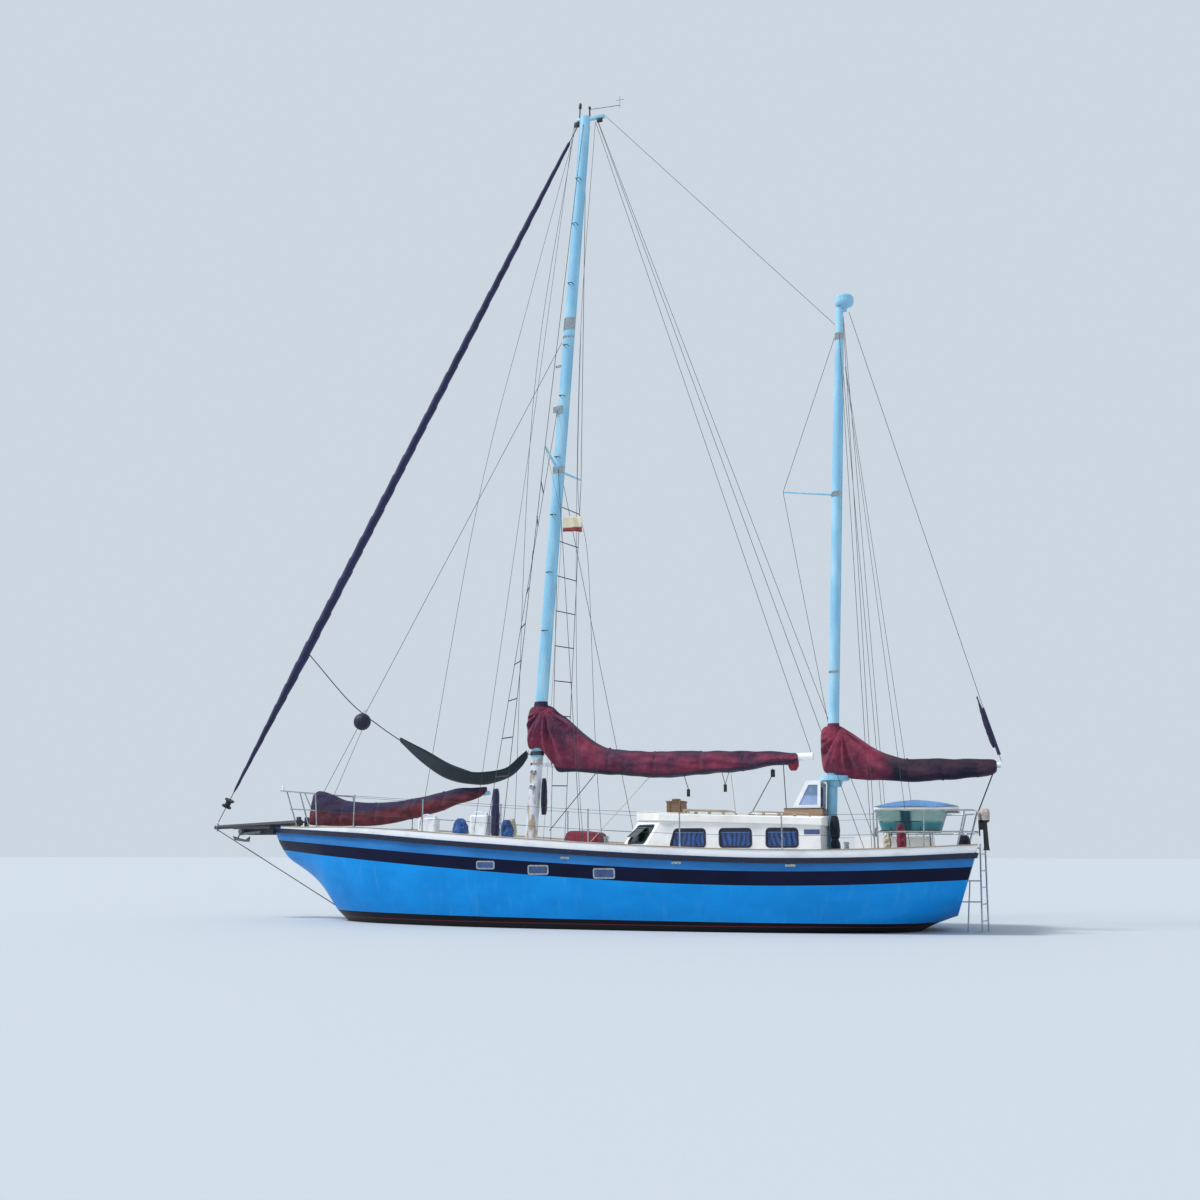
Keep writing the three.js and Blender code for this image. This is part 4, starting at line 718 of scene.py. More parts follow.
rings = []
for i in range(ROLL_STEPS):
    share = 0.004 + 0.99 * i / (ROLL_STEPS - 1)
    radius = roll_radius(share)
    middle = STAY_FOOT.lerp(STAY_HEAD, share)
    ring = []
    for k in range(ROLL_AROUND):
        angle = 2 * math.pi * k / ROLL_AROUND
        turn = (angle / (2 * math.pi) + share * ROLL_TURNS) % 1
        edge = 0.82 + 0.16 * turn if radius > 0.02 else 1
        lump = 1 + 0.05 * noise.noise(Vector((share * 60, math.cos(angle) * 1.5, math.sin(angle) * 1.5)))
        out = radius * edge * lump
        ring.append(middle + out * (math.cos(angle) * stay_side + math.sin(angle) * PORT))
    rings.append(ring)
genoa = skin("furled_genoa_roll", rings, sharp=45)
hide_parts("furled_genoa")
dress(genoa, navy_cloth)
black, tree, shader, place = surface("Black moulded plastic", 0.5)
tint(tree, shader, speckle(tree, place, 25.0, 0.3, 0.7), "#101216", "#26282c")
bump(tree, shader, speckle(tree, place, 180.0, 0.3, 0.7, 2.0), 0.0004, 0.6)
repaint(black, "furler_drum")
ball_skin, tree, shader, place = surface("Navy black inflated vinyl", 0.6)
tint(tree, shader, speckle(tree, place, 9.0, 0.3, 0.7), "#0b1028", "#1b2140")
bump(tree, shader, speckle(tree, place, 60.0, 0.3, 0.7, 2.0), 0.0006, 0.6)
repaint(ball_skin, "anchor_ball")

# Staysail on its club boom. The sail is flaked along the boom under a cover of maroon canvas, tied with
# straps, whose upper half is painted navy as shade. The boom is in the pale blue spar paint, chalky with
# age, that is used all over the rig.


def canvas(name, light, deep, faded):
    """Acrylic canvas, dull and sun-faded in patches, with soft creases. Its weave is drawn coarse enough to
    show. Gives the material with the colour that is still to join to it."""
    made, tree, shader, place = surface(name, 0.88, Sheen_Weight=0.15, Sheen_Roughness=0.5)
    cloud = speckle(tree, place, 2.6, 0.35, 0.65, 6.0)
    dust = add_node(
        tree, "Math", {0: speckle(tree, place, 9.0, 0.5, 0.8, 8.0), 1: 0.4}, operation="MULTIPLY"
    ).outputs[0]
    tone = blend_colour(tree, dust, blend_colour(tree, cloud, deep, light), faded)
    warp = add_node(tree, "TexWave", {"Vector": place, "Scale": 240.0}, bands_direction="X").outputs["Fac"]
    weft = add_node(tree, "TexWave", {"Vector": place, "Scale": 240.0}, bands_direction="Z").outputs["Fac"]
    woven = add_node(tree, "Math", {0: warp, 1: weft}, operation="MAXIMUM").outputs[0]
    creased = speckle(tree, place, 3.2, 0.3, 0.7, 3.0, (1, 1, 1.2))
    height = add_node(tree, "Math", {0: creased, 1: 45.0, 2: woven}, operation="MULTIPLY_ADD").outputs[0]
    bump(tree, shader, height, 0.0006, 1.0)
    return made, tree, shader, place, tone


maroon, tree, shader, place, tone = canvas("Maroon acrylic canvas", "#8a2236", "#4f1b33", "#a04058")
tree.links.new(tone, shader.inputs["Base Color"])
staysail_canvas_shaded_top, tree, shader, place, tone = canvas(
    "Maroon canvas with painted shade on top", "#641c2c", "#421424", "#7a3448"
)
shaded = height_line(
    tree, place, [(0, 2.24), (0.79, 2.21), (1.6, 2.12), (3.0, 2.26), (4.7, 2.53), (14, 2.6)], 3.0
)
# Above this line the cover is painted navy purple as shade; below it the maroon is the cloth's own.
painted_shade_top = blend_colour(tree, speckle(tree, place, 3.0, 0.35, 0.7, 6.0), "#1d1a45", "#33203f")
tint(tree, shader, above(tree, place, shaded, 0.03), tone, painted_shade_top)

spar_paint, tree, shader, place = surface("Pale blue spar paint", 0.35, Coat_Weight=0.15)
chalk = speckle(tree, place, 2.0, 0.45, 0.8, 6.0, (2, 2, 0.6))
tint(tree, shader, chalk, "#8ac4e2", "#b4dff0")
bump(tree, shader, speckle(tree, place, 45.0, 0.3, 0.7), 0.0004, 0.5)
repaint(
    spar_paint, "staysail_boom", "spreader_port", "spreader_starboard", "jumper_strut", "radome",
    "mizzen_collar"
)


def ridged(x, y, z):
    """Noise with sharp crests, as folds in cloth have."""
    return 1 - 2.6 * abs(noise.noise(Vector((x, y, z))))


def cover_rings(rows, steps, around, fold, lean=0.0, pinch=(), peak=None):
    """Rings of a soft cover. Rows are (aft, low, high, half width); its folds spread from a peak, or run
    along it, and each pinch is a strap that draws it in."""
    start, end = rows[0][0], rows[-1][0]
    rings = []
    for i in range(steps + 1):
        aft = start + (end - start) * i / steps
        low, high, half = [fair(rows, aft, c) for c in (1, 2, 3)]
        tied = min((abs(aft - p) for p in pinch), default=1)
        half *= 1 - 0.14 * math.exp(-((tied / 0.045) ** 2))
        ring = []
        for k in range(around):
            angle = 2 * math.pi * k / around
            rise = (1 - math.cos(angle)) / 2
            side = math.sin(angle)
            hand = 1 if side > 0 else -1
            width = half * (1.12 - 0.55 * rise**1.3) * hand * abs(side) ** 0.8
            up = low + (high - low) * rise
            crease = 1.3 * fold * ridged(aft * 1.6 + rise * 1.2, up * 5.0, 3.0 * hand)
            if peak:
                reach = math.hypot(aft - peak[0], peak[1] - up)
                spread = math.atan2(peak[1] - up, aft - peak[0])
                pull = min(reach / 0.35, 1) * math.exp(-reach / 1.9)
                drawn = ridged(spread * 3.4, reach * 0.5, 9.0 * hand)
                crease = crease * (1 - 0.8 * pull) + 4.6 * fold * pull * drawn
            crease += 0.8 * fold * noise.noise(Vector((aft * 5.5, side * 1.5, up * 5)))
            width += hand * crease * abs(side)
            up += fold * 0.9 * noise.noise(Vector((aft * 3.1, side * 0.7, 7.7)))
            ring.append(at(aft + lean * (up - low), width, up))
        rings.append(ring)
    return rings


# Each cover's rows: distance aft, lower edge, upper edge, half width. Its ties: distance aft of each.
STAYSAIL_TIES = (1.5, 2.3, 3.1, 3.8)
STAYSAIL_ROWS = [
    (0.79, 1.89, 2.52, 0.05), (0.9, 1.875, 2.58, 0.09), (1.2, 1.87, 2.52, 0.11), (1.6, 1.865, 2.38, 0.115),
    (2.38, 1.87, 2.33, 0.115), (2.85, 1.945, 2.37, 0.11), (3.25, 2.015, 2.42, 0.105),
    (3.73, 2.135, 2.52, 0.1), (4.15, 2.275, 2.59, 0.09), (4.45, 2.365, 2.605, 0.075),
    (4.71, 2.455, 2.605, 0.055),
]
rings = cover_rings(STAYSAIL_ROWS, 150, 36, 0.018, 0.1, STAYSAIL_TIES)
staysail_cover = skin("staysail_cover_cloth", rings, sharp=80)
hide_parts("staysail_cover")
dress(staysail_cover, staysail_canvas_shaded_top, "staysail_boom_body")

# Hammock. Dark green cotton, dull and faded towards navy, slung between the inner stay's line and the main
# mast with a cord at each end. Two skins close on each other at the edges.
green, tree, shader, place = surface("Dark green hammock cloth", 0.9, Sheen_Weight=0.2)
tint(tree, shader, speckle(tree, place, 6.0, 0.35, 0.7, 5.0), "#0f2a2c", "#1c2440")
bump(tree, shader, add_node(tree, "TexWave", {"Vector": place, "Scale": 220.0}).outputs["Fac"], 0.0006, 0.6)
HAMMOCK_ROWS = [
    (2.79, 3.55, 3.64, 0.03), (3.3, 3.12, 3.38, 0.15), (3.75, 2.83, 3.13, 0.24), (4.06, 2.72, 3.0, 0.28),
    (4.38, 2.665, 2.9, 0.29), (4.78, 2.66, 2.89, 0.27), (5.22, 2.8, 2.96, 0.2), (5.47, 3.0, 3.19, 0.12),
    (5.59, 3.165, 3.31, 0.05),
]
HAMMOCK_FORE, HAMMOCK_RUN, HAMMOCK_STEPS = 2.79, 2.8, 80
rings = []
for i in range(HAMMOCK_STEPS + 1):
    aft = HAMMOCK_FORE + HAMMOCK_RUN * i / HAMMOCK_STEPS
    low, high, half = [fair(HAMMOCK_ROWS, aft, c) for c in (1, 2, 3)]
    ring = []
    for skin_side in (0, 1):
        for k in range(17):
            f = (k / 8 - 1) if skin_side == 0 else (1 - k / 8)
            crease = 0.012 * noise.noise(Vector((aft * 2, f * 5, 3.0)))
            up = low + (high - low) * abs(f) ** 1.6 + crease + (0.008 if skin_side else 0)
            ring.append(at(aft, half * f, up))
    rings.append(ring)
hammock = skin("hammock_cloth", rings, sharp=80)
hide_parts("hammock")
dress(hammock, green)

# Lines of the foredeck, in wire and thin cord. One slings the hammock from the furled sail to a lashing of
# five turns round the mast, and one holds the ball between the inner stay and the deck.
LASHING_TURNS, LASHING_STEPS = 5, 28
lashing = []
for i in range(LASHING_TURNS):
    ring = []
    for k in range(LASHING_STEPS + 1):
        angle = 2 * math.pi * k / LASHING_STEPS
        ring.append(at(5.795 + 0.137 * math.cos(angle), 0.1 * math.sin(angle), 3.215 + 0.016 * i))
    lashing.append((ring, 0.0075))
SLING = [(0.47, 5.6), (0.72, 5.33), (1.6, 4.42), (2.3, 3.9), (2.8, 3.58)]
slings = [(through([at(aft, 0, up) for aft, up in SLING]), 0.011)]
slings += [([at(5.58, 0, 3.24), at(5.665, 0, 3.235)], 0.011), *lashing]
slings.append(([at(1.99, 0, 4.235), at(1.99, 0.16, 4.165)], 0.005))
slings.append(([at(1.99, 0.16, 3.8), at(1.3, 0.45, 1.84)], 0.005))
dress(lines("foredeck_lines", slings), wire)

# Gear stowed on the foredeck. White moulded polyethylene cans, scuffed, with handles and caps, soft bags of
# blue acrylic canvas, a rolled awning on end and a heap of cream laid rope by the mast, all lashed down.
can_plastic, tree, shader, place = surface("White moulded polyethylene", 0.5, Subsurface_Weight=0.05)
scuffed = speckle(tree, place, 12.0, 0.5, 0.8, 6.0)
tint(tree, shader, scuffed, "#e9edf2", "#b9c3d0")
bump(tree, shader, speckle(tree, place, 90.0, 0.3, 0.7), 0.0005, 0.6)


CAN_CAP = [(0, 0.03), (0.008, 0.034), (0.04, 0.034), (0.046, 0.028), (0.046, 0)]


def can(fore, aft, port, low, high):
    """A carrying can: a rounded body with a sunk side, a handle over its top and a screw cap."""
    body = block("can", fore, aft, port - 0.11, port + 0.11, low, high - 0.06, 0.035, 4)
    bpy.ops.object.mode_set(mode="EDIT")
    bpy.ops.mesh.select_all(action="DESELECT")
    bpy.ops.object.mode_set(mode="OBJECT")
    for face in body.data.polygons:
        face.select = abs(face.normal.y) > 0.99
    bpy.ops.object.mode_set(mode="EDIT")
    bpy.ops.mesh.inset(thickness=0.03)
    bpy.ops.transform.shrink_fatten(value=-0.008)
    bpy.ops.object.mode_set(mode="OBJECT")
    middle = (fore + aft) / 2
    handle = [(fore + 0.05, -0.07), (fore + 0.07, -0.01), (middle, 0), (middle + 0.06, -0.07)]
    grip = lines("grip", [(through([at(a, port, high + drop) for a, drop in handle]), 0.013)], 3)
    cap = turned("cap", CAN_CAP, at(aft - 0.06, port, high - 0.062), UP, 20)
    return join(body, grip, cap)


def bag(name, fore, aft, port0, port1, low, high, sag=0.3, crease=0.09, seed=1.0, point=0.4):
    """A soft closed bag: a lofted shell, fuller below, drawn in at its ends and creased all over."""
    middle, size = at((fore + aft) / 2, (port0 + port1) / 2, 0), ((aft - fore) / 2, abs(port1 - port0) / 2)
    rings = []
    for i in range(1, 28):
        f = i / 28
        full = math.sin(math.pi * f) ** point * (1 + sag * (0.5 - f)) / (1 + sag * 0.35)
        ring = []
        for k in range(40):
            angle = 2 * math.pi * k / 40
            c, d = math.cos(angle), math.sin(angle)
            fold = 1 + crease * ridged(c * 1.6 + seed, d * 1.6, f * 3.5) - crease * 0.6
            x = size[0] * full * fold * math.copysign(abs(c) ** 0.75, c)
            y = size[1] * full * fold * math.copysign(abs(d) ** 0.75, d)
            ring.append(middle + Vector((x, y, low + (high - low) * f)))
        rings.append(ring)
    return skin(name, rings, sharp=80)


cans = [
    can(3.73, 4.11, 0.92, deck_up(3.9, 0.9) - 0.004, 2.04),
    can(4.85, 5.21, 1.02, deck_up(5, 1) - 0.004, 2.08)
]
dress(named(join(*cans), "foredeck_cans"), can_plastic)
blue_canvas, tree, shader, place, tone = canvas("Blue acrylic canvas", "#2c62a8", "#173a72", "#6a94c4")
tree.links.new(tone, shader.inputs["Base Color"])
for name, fore, aft, port, low, high in (
    ("blue_bag_fore", 4.43, 4.76, 0.95, 1.6, 1.98),
    ("blue_bag_aft", 5.46, 5.75, 1.12, 1.55, 1.94),
):
    blue_bag = bag(name, fore, aft, port - 0.14, port + 0.14, low, high, 0.5, 0.2, fore, 0.3)
    dress(blue_bag, blue_canvas)
rolled_awning = bag("rolled_awning", 5.25, 5.41, 0.92, 1.08, 1.55, 2.55, 0.15, 0.16, 7.0, 0.2)
dress(rolled_awning, navy_cloth)
rope, tree, shader, place = surface("Cream laid rope", 0.9)
strand = add_node(
    tree, "TexWave", {"Vector": place, "Scale": 60.0}, bands_direction="DIAGONAL"
).outputs["Fac"]
tint(tree, shader, strand, "#e3ddca", "#9d9682")
bump(tree, shader, strand, 0.003, 0.8)
rope_bag = bag("rope_bag", 5.36, 5.58, 0.38, 0.62, 1.58, 1.98, 0.6, 0.2, 3.0, 0.3)
dress(rope_bag, rope)

# Main mast. A rounded alloy tube with a sail track aft, a crane at its head and a pin for its boom. It
# stands on the deck and is held by the wires. Its pale blue paint is chalky, and bare and worn below the
# cover.
MAIN_FOOT, MAIN_HEAD = at(5.67, 0, 1.4), at(6.755, 0, 17.13)
MIZZEN_FOOT, MIZZEN_HEAD = at(11.48, 0, 1.3), at(12.055, 0, 11.88)


def spar_ring(foot, head, share, fore, wide, grow=0.0, around=36):
    """An oval ring round a spar, of its own half sizes fore and aft and across."""
    middle = foot.lerp(head, share)
    turns = [2 * math.pi * k / around for k in range(around)]
    return [middle + Vector(((fore + grow) * math.cos(a), (wide + grow) * math.sin(a), 0)) for a in turns]


def up_spar(foot, head, up):
    """The middle of a spar at a height."""
    return foot.lerp(head, (up - foot.z) / (head.z - foot.z))


def main_at(up, fore=0.0, port=0.0):
    return up_spar(MAIN_FOOT, MAIN_HEAD, up) + Vector((fore, port, 0))


def mizzen_at(up, fore=0.0, port=0.0):
    return up_spar(MIZZEN_FOOT, MIZZEN_HEAD, up) + Vector((fore, port, 0))


# Share of the way up, half size fore and aft, half size across.
MAIN_PROFILE = [(0.0012, 0.125, 0.088), (1, 0.118, 0.084)]
main_tube = skin("main_mast_tube", [spar_ring(MAIN_FOOT, MAIN_HEAD, *row) for row in MAIN_PROFILE])
track = lines("main_track", [([main_at(3.2, -0.126), main_at(16.9, -0.119)], 0.012)])
crane = block("main_crane", 6.57, 7.2, -0.038, 0.038, 17.04, 17.115, 0.012)
gooseneck = block("main_gooseneck", 5.87, 6.095, -0.03, 0.03, 2.985, 3.055, 0.01)
MAIN_PIN = [(0, 0), (0, 0.02), (0.14, 0.02), (0.14, 0)]
pin = turned("main_pin", MAIN_PIN, at(6.081, 0, 2.95), at(6.99, 0, 16.98) - at(6.085, 0, 3.02), 16)
mast_paint, tree, shader, place = surface("Pale blue mast paint, bare below", 0.35, Coat_Weight=0.15)
chalk = speckle(tree, place, 2.0, 0.45, 0.8, 6.0, (2, 2, 0.6))
worn = speckle(tree, place, 5.0, 0.5, 0.6, 6.0, (2, 2, 0.8))
foot_tone = blend_colour(tree, worn, "#dde2ee", "#b3a592")
tint(
    tree, shader, above(tree, place, 3.14, 0.02), foot_tone,
    blend_colour(tree, chalk, "#8ac4e2", "#b4dff0")
)
bump(tree, shader, speckle(tree, place, 45.0, 0.3, 0.7), 0.0004, 0.5)
main_mast = named(join(main_tube, track, crane, gooseneck, pin), "main_mast_spar")
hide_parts("main_mast")
dress(main_mast, mast_paint)

# The mast's fittings. Folding steps up both sides, bands and tangs of stainless steel for the lower
# shrouds, winches on its sides, and at the masthead two posts with lamps, an aerial rod with a whip, and
# black sheaves.
STEP_HEIGHTS, STARBOARD_HIGHER = (15.59, 14.54, 13.17, 11.78, 10.66, 9.33, 8.1, 6.9, 5.7), 0.55
steps = []
for side in (1, -1):
    for up in STEP_HEIGHTS:
        up += 0 if side > 0 else STARBOARD_HIGHER
        tread = [main_at(up, 0.04, 0.08 * side), main_at(up - 0.02, 0.045, 0.2 * side)]
        tread += [main_at(up - 0.02, -0.045, 0.2 * side), main_at(up, -0.04, 0.08 * side)]
        steps.append((tread, 0.0085))
guard = [(11.38, 0.11, 0.03), (11.36, 0.23, 0.035), (11.36, 0.23, -0.035), (11.38, 0.11, -0.03)]
steps.append(([main_at(*point) for point in guard], 0.0085))
dress(lines("mast_steps", steps, 2), black)


def spar_band(foot, head, low, high, fore, wide):
    """A band fitted round a mast."""
    rings = []
    for up, grow in ((low, -0.001), (low, 0.006), (high, 0.006), (high, -0.001)):
        rings.append(spar_ring(foot, head, (up - foot.z) / (head.z - foot.z), fore, wide, grow))
    return skin("band", rings, sharp=30)


MAIN_BANDS = [(12.16, 12.42), (11.98, 12.02), (9.0, 9.14), (3.02, 3.06)]
bands = [spar_band(MAIN_FOOT, MAIN_HEAD, low, high, 0.123, 0.087) for low, high in MAIN_BANDS]
for side in (1, -1):
    bands.append(block("tang", 6.1, 6.3, side * 0.085, side * 0.1, 10.3, 10.46, 0.004))
DRUM = [
    (0, 0), (0, 0.052), (0.02, 0.052), (0.03, 0.038), (0.08, 0.033), (0.1, 0.044), (0.115, 0.046),
    (0.13, 0.03), (0.13, 0)
]
for side in (1, -1):
    for up in (2.58, 2.87):
        bands.append(turned("winch", DRUM, main_at(up, 0, 0.08 * side), Vector((0, side, 0)), 24))
dress(named(join(*bands), "main_mast_metalwork"), steel)
POST_FORE = [
    (0, 0), (0, 0.03), (0.02, 0.03), (0.03, 0.014), (0.26, 0.014), (0.27, 0.034), (0.36, 0.034),
    (0.39, 0.018), (0.39, 0)
]
POST_AFT = [(0, 0), (0, 0.02), (0.2, 0.016), (0.21, 0.028), (0.25, 0.028), (0.26, 0)]
# The rod, the whip and its cross, each from end to end as (aft, up) points, with a radius.
AERIALS = [
    ((6.86, 17.3), (7.55, 17.27), 0.006), ((7.55, 17.2), (7.55, 17.49), 0.004),
    ((7.46, 17.4), (7.64, 17.4), 0.004)
]
aerials = [([at(a, 0.01, z) for a, z in (start, end)], radius) for start, end, radius in AERIALS]
head_gear = [
    turned("post_fore", POST_FORE, at(6.625, 0, 17.11), Vector((-0.04, 0, 1)), 20),
    turned("post_aft", POST_AFT, at(6.86, 0.01, 17.11), UP, 16),
    lines("aerials", aerials, 2),
    block("sheaves_fore", 6.5, 6.62, -0.03, 0.03, 16.93, 17.05, 0.014),
    block("sheaves_aft", 7.02, 7.15, -0.03, 0.03, 16.96, 17.05, 0.014),
]
dress(named(join(*head_gear), "masthead_gear"), black)

# Standing and running rigging beyond the main stays. Stranded wire lower shrouds, ratlines of tarred timber
# seized across the forward shrouds, and halyards led down to the side decks.
RATLINES, RATLINE_LOW, RATLINE_STEP = 9, 2.7, 0.72
# Each halyard's points, from the mast down to the deck.
HALYARDS = [
    [(7.0, 0.04, 16.96), (6.7, 0.1, 12.08), (6.72, 0.4, 7.03), (7.13, 1.5, 3.16), (7.35, 1.86, 1.5)],
    [(6.7, 0.1, 12.08), (6.75, 0.4, 8.46), (6.97, 0.42, 7.02), (7.46, 1.5, 3.36), (7.7, 1.86, 1.49)],
    [(6.56, 0.03, 16.94), (5.6, 0.25, 12.9), (4.75, 0.8, 8.3), (3.9, 1.3, 1.75)],
    [(6.5, -0.03, 16.94), (5.55, -0.16, 10.6), (5.1, -0.6, 1.66)],
    [(6.5, 0.03, 16.94), (5.75, 0.3, 10.2), (5.0, 1.25, 1.7)],
]
standing, rungs = [], []
for side in (1, -1):
    fore_foot, fore_head = at(5.46, 1.8 * side, 1.58), at(6.2, 0.09 * side, 10.4)
    cap_foot, cap_head = at(5.77, 1.83 * side, 1.56), at(6.31, 1.164 * side, 9.2)
    standing.append(([fore_head, fore_foot], 0.0055))
    standing.append(([at(6.22, 0.09 * side, 9.05), at(7.3, 1.86 * side, 1.5)], 0.0055))
    for i in range(RATLINES):
        up = RATLINE_LOW + RATLINE_STEP * i
        rungs.append(([up_spar(fore_foot, fore_head, up), up_spar(cap_foot, cap_head, up)], 0.011))
for halyard in HALYARDS:
    standing.append((through([at(*point) for point in halyard], 8), 0.0045))
dress(lines("main_rigging", standing), wire)
dress(lines("ratlines", rungs, 2), dark_wood)

# Courtesy flag. Plain cream bunting with a reddish lower edge, faded, with its threads showing. It is bent
# to a thin halyard from the spreader, and ripples more towards its fly.
bunting, tree, shader, place = surface("Cream bunting", 0.85, Sheen_Weight=0.1)
thread = speckle(tree, place, 160.0, 0.3, 0.7)
tint(
    tree, shader, above(tree, place, 7.66, 0.012), "#8a3a3a",
    blend_colour(tree, thread, "#efe7cf", "#cdbf9d")
)
bump(tree, shader, thread, 0.0006, 0.5)


def thicken(cloth, thickness):
    """Gives a sheet its cloth's real thickness."""
    made = cloth.modifiers.new("cloth", "SOLIDIFY")
    made.thickness = thickness
    bpy.ops.object.modifier_apply(modifier="cloth")


FLAG_FORE, FLAG_PORT, FLAG_LOW, FLAG_LENGTH, FLAG_HEIGHT = 6.5, 0.6, 7.58, 0.4, 0.31
rows = []
for i in range(13):
    up = FLAG_LOW + FLAG_HEIGHT * i / 12
    row = []
    for k in range(17):
        ripple = 0.03 * math.sin(k * 0.75 + i * 0.2) * k / 16
        row.append(at(FLAG_FORE + FLAG_LENGTH * k / 16, FLAG_PORT + ripple, up - 0.03 * (k / 16) ** 2))
    rows.append(row)
flag = skin("courtesy_flag", rows, closed=False, capped=False, sharp=80)
thicken(flag, 0.0015)
dress(flag, bunting)
halyard = [at(6.3, 1.1, 9.19), at(6.47, 0.62, 7.95), at(6.48, 0.62, 7.5), at(6.6, 1.85, 1.55)]
dress(lines("flag_halyard", [(halyard, 0.003)]), wire)

# Mizzen mast. The same tube, smaller, in the same chalky blue paint, stepped at the after wall of the
# house. The radome stands on its head, and a teal collar is fitted where it passes the house's roof.
MIZZEN_PROFILE = [(0.0012, 0.095, 0.088), (0.75, 0.095, 0.088), (1, 0.075, 0.066)]
mizzen_tube = skin("mizzen_mast_tube", [spar_ring(MIZZEN_FOOT, MIZZEN_HEAD, *row) for row in MIZZEN_PROFILE])
track = lines(
    "mizzen_track", [([mizzen_at(2.9, -0.096), mizzen_at(9.2, -0.096), mizzen_at(11.7, -0.078)], 0.011)]
)
crane = block("mizzen_crane", 12.065, 12.195, -0.03, 0.03, 11.79, 11.85, 0.01)
gooseneck = block("mizzen_gooseneck", 11.61, 11.705, -0.028, 0.028, 2.755, 2.825, 0.008)
MIZZEN_PIN = [(0, 0), (0, 0.018), (0.12, 0.018), (0.12, 0)]
pin = turned("mizzen_pin", MIZZEN_PIN, at(11.692, 0, 2.73), at(12.225, 0, 11.8) - at(11.695, 0, 2.79), 16)
mizzen_mast = named(join(mizzen_tube, track, crane, gooseneck, pin), "mizzen_mast_spar")
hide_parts("mizzen_mast")
dress(mizzen_mast, spar_paint)

# The mizzen's rigging. Stranded wire: the jumper stay over its strut, and shrouds down to the after deck,
# with stainless steel bands round the mast where they are shackled on.
mizzen_runs = [([mizzen_at(11.3, 0.08), at(10.82, 0, 8.19), mizzen_at(3.7, 0.1)], 0.005)]
for side in (1, -1):
    for run in ([(12.12, 0.08, 11.62), (12.39, 1.62, 1.3)], [(12.12, 0.08, 10.61), (12.95, 1.52, 1.35)]):
        mizzen_runs.append(([at(a, y * side, z) for a, y, z in run], 0.0045))
dress(lines("mizzen_rigging", mizzen_runs), wire)
# Lower edge, upper edge, half size fore and aft, half size across.
MIZZEN_BANDS = [(8.0, 8.1, 0.095, 0.088), (4.6, 4.64, 0.095, 0.088), (11.2, 11.34, 0.08, 0.071)]
mizzen_bands = [spar_band(MIZZEN_FOOT, MIZZEN_HEAD, *band) for band in MIZZEN_BANDS]
dress(named(join(*mizzen_bands), "mizzen_metalwork"), steel)

# Main boom and its sail. The sail is flaked on the white boom under a maroon cover with navy edges, tied
# with straps. Its collar is laced round the front of the mast.
repaint(white_paint, "main_boom", "mizzen_boom")


def hollow_for_mast(piece, foot, head, profile):
    """The hole that a mast passes through."""
    cutter = skin("mast_hole", [spar_ring(foot, head, s, f, w, 0.006) for s, f, w in profile])
    pick(piece)
    made = piece.modifiers.new("mast_hole", "BOOLEAN")
    made.object = cutter
    made.solver = "EXACT"
    bpy.ops.object.modifier_apply(modifier="mast_hole")
    bpy.data.objects.remove(cutter)
    pick(piece)
    bpy.ops.object.shade_smooth_by_angle(angle=math.radians(80))
    return piece


MAIN_TIES = (7.3, 8.2, 9.1, 9.9, 10.6)
MAIN_COVER_ROWS = [
    (5.6, 3.55, 3.9, 0.05), (5.63, 3.36, 4.1, 0.11), (5.7, 3.33, 4.18, 0.15), (5.88, 3.32, 4.22, 0.16),
    (6.03, 3.15, 4.19, 0.155), (6.15, 3.0, 4.14, 0.145), (6.22, 2.9, 4.07, 0.135),
    (6.39, 2.875, 3.95, 0.135), (6.72, 2.855, 3.65, 0.15), (7.07, 2.83, 3.41, 0.16),
    (7.4, 2.805, 3.3, 0.165), (8, 2.745, 3.24, 0.17), (8.57, 2.73, 3.23, 0.165), (9.1, 2.78, 3.22, 0.155),
    (9.9, 2.82, 3.2, 0.145), (10.23, 2.88, 3.19, 0.135), (10.64, 2.925, 3.165, 0.115),
    (10.86, 2.945, 3.15, 0.1), (10.94, 2.98, 3.13, 0.085),
]
rings = cover_rings(MAIN_COVER_ROWS, 320, 60, 0.026, 0, MAIN_TIES, (5.95, 4.15))
main_cover = skin("mainsail_cover_cloth", rings, sharp=80)
hollow_for_mast(main_cover, MAIN_FOOT, MAIN_HEAD, MAIN_PROFILE)
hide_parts("mainsail_cover", "mainsail_collar")
main_canvas, tree, shader, place, tone = canvas(
    "Maroon canvas with navy edges", "#7d2340", "#421838", "#8e4062"
)
TOP_EDGE = [(row[0], row[2]) for row in MAIN_COVER_ROWS if row[0] >= 5.88]
LOW_EDGE = [(row[0], row[1]) for row in MAIN_COVER_ROWS if row[0] >= 6.3]
ridge = height_line(tree, place, [(0, 3.2), *[(a, up - 0.045) for a, up in TOP_EDGE], (14, 3.1)], 5.0)
hem = height_line(
    tree, place, [(0, 2.0), (6.0, 3.0), *[(a, up + 0.07) for a, up in LOW_EDGE], (14, 3.0)], 5.0
)
tone = blend_colour(tree, above(tree, place, ridge, 0.02), tone, "#1f1838")
tint(tree, shader, above(tree, place, hem, 0.02), "#221634", tone)
dress(main_cover, main_canvas, None)
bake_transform(main_cover)
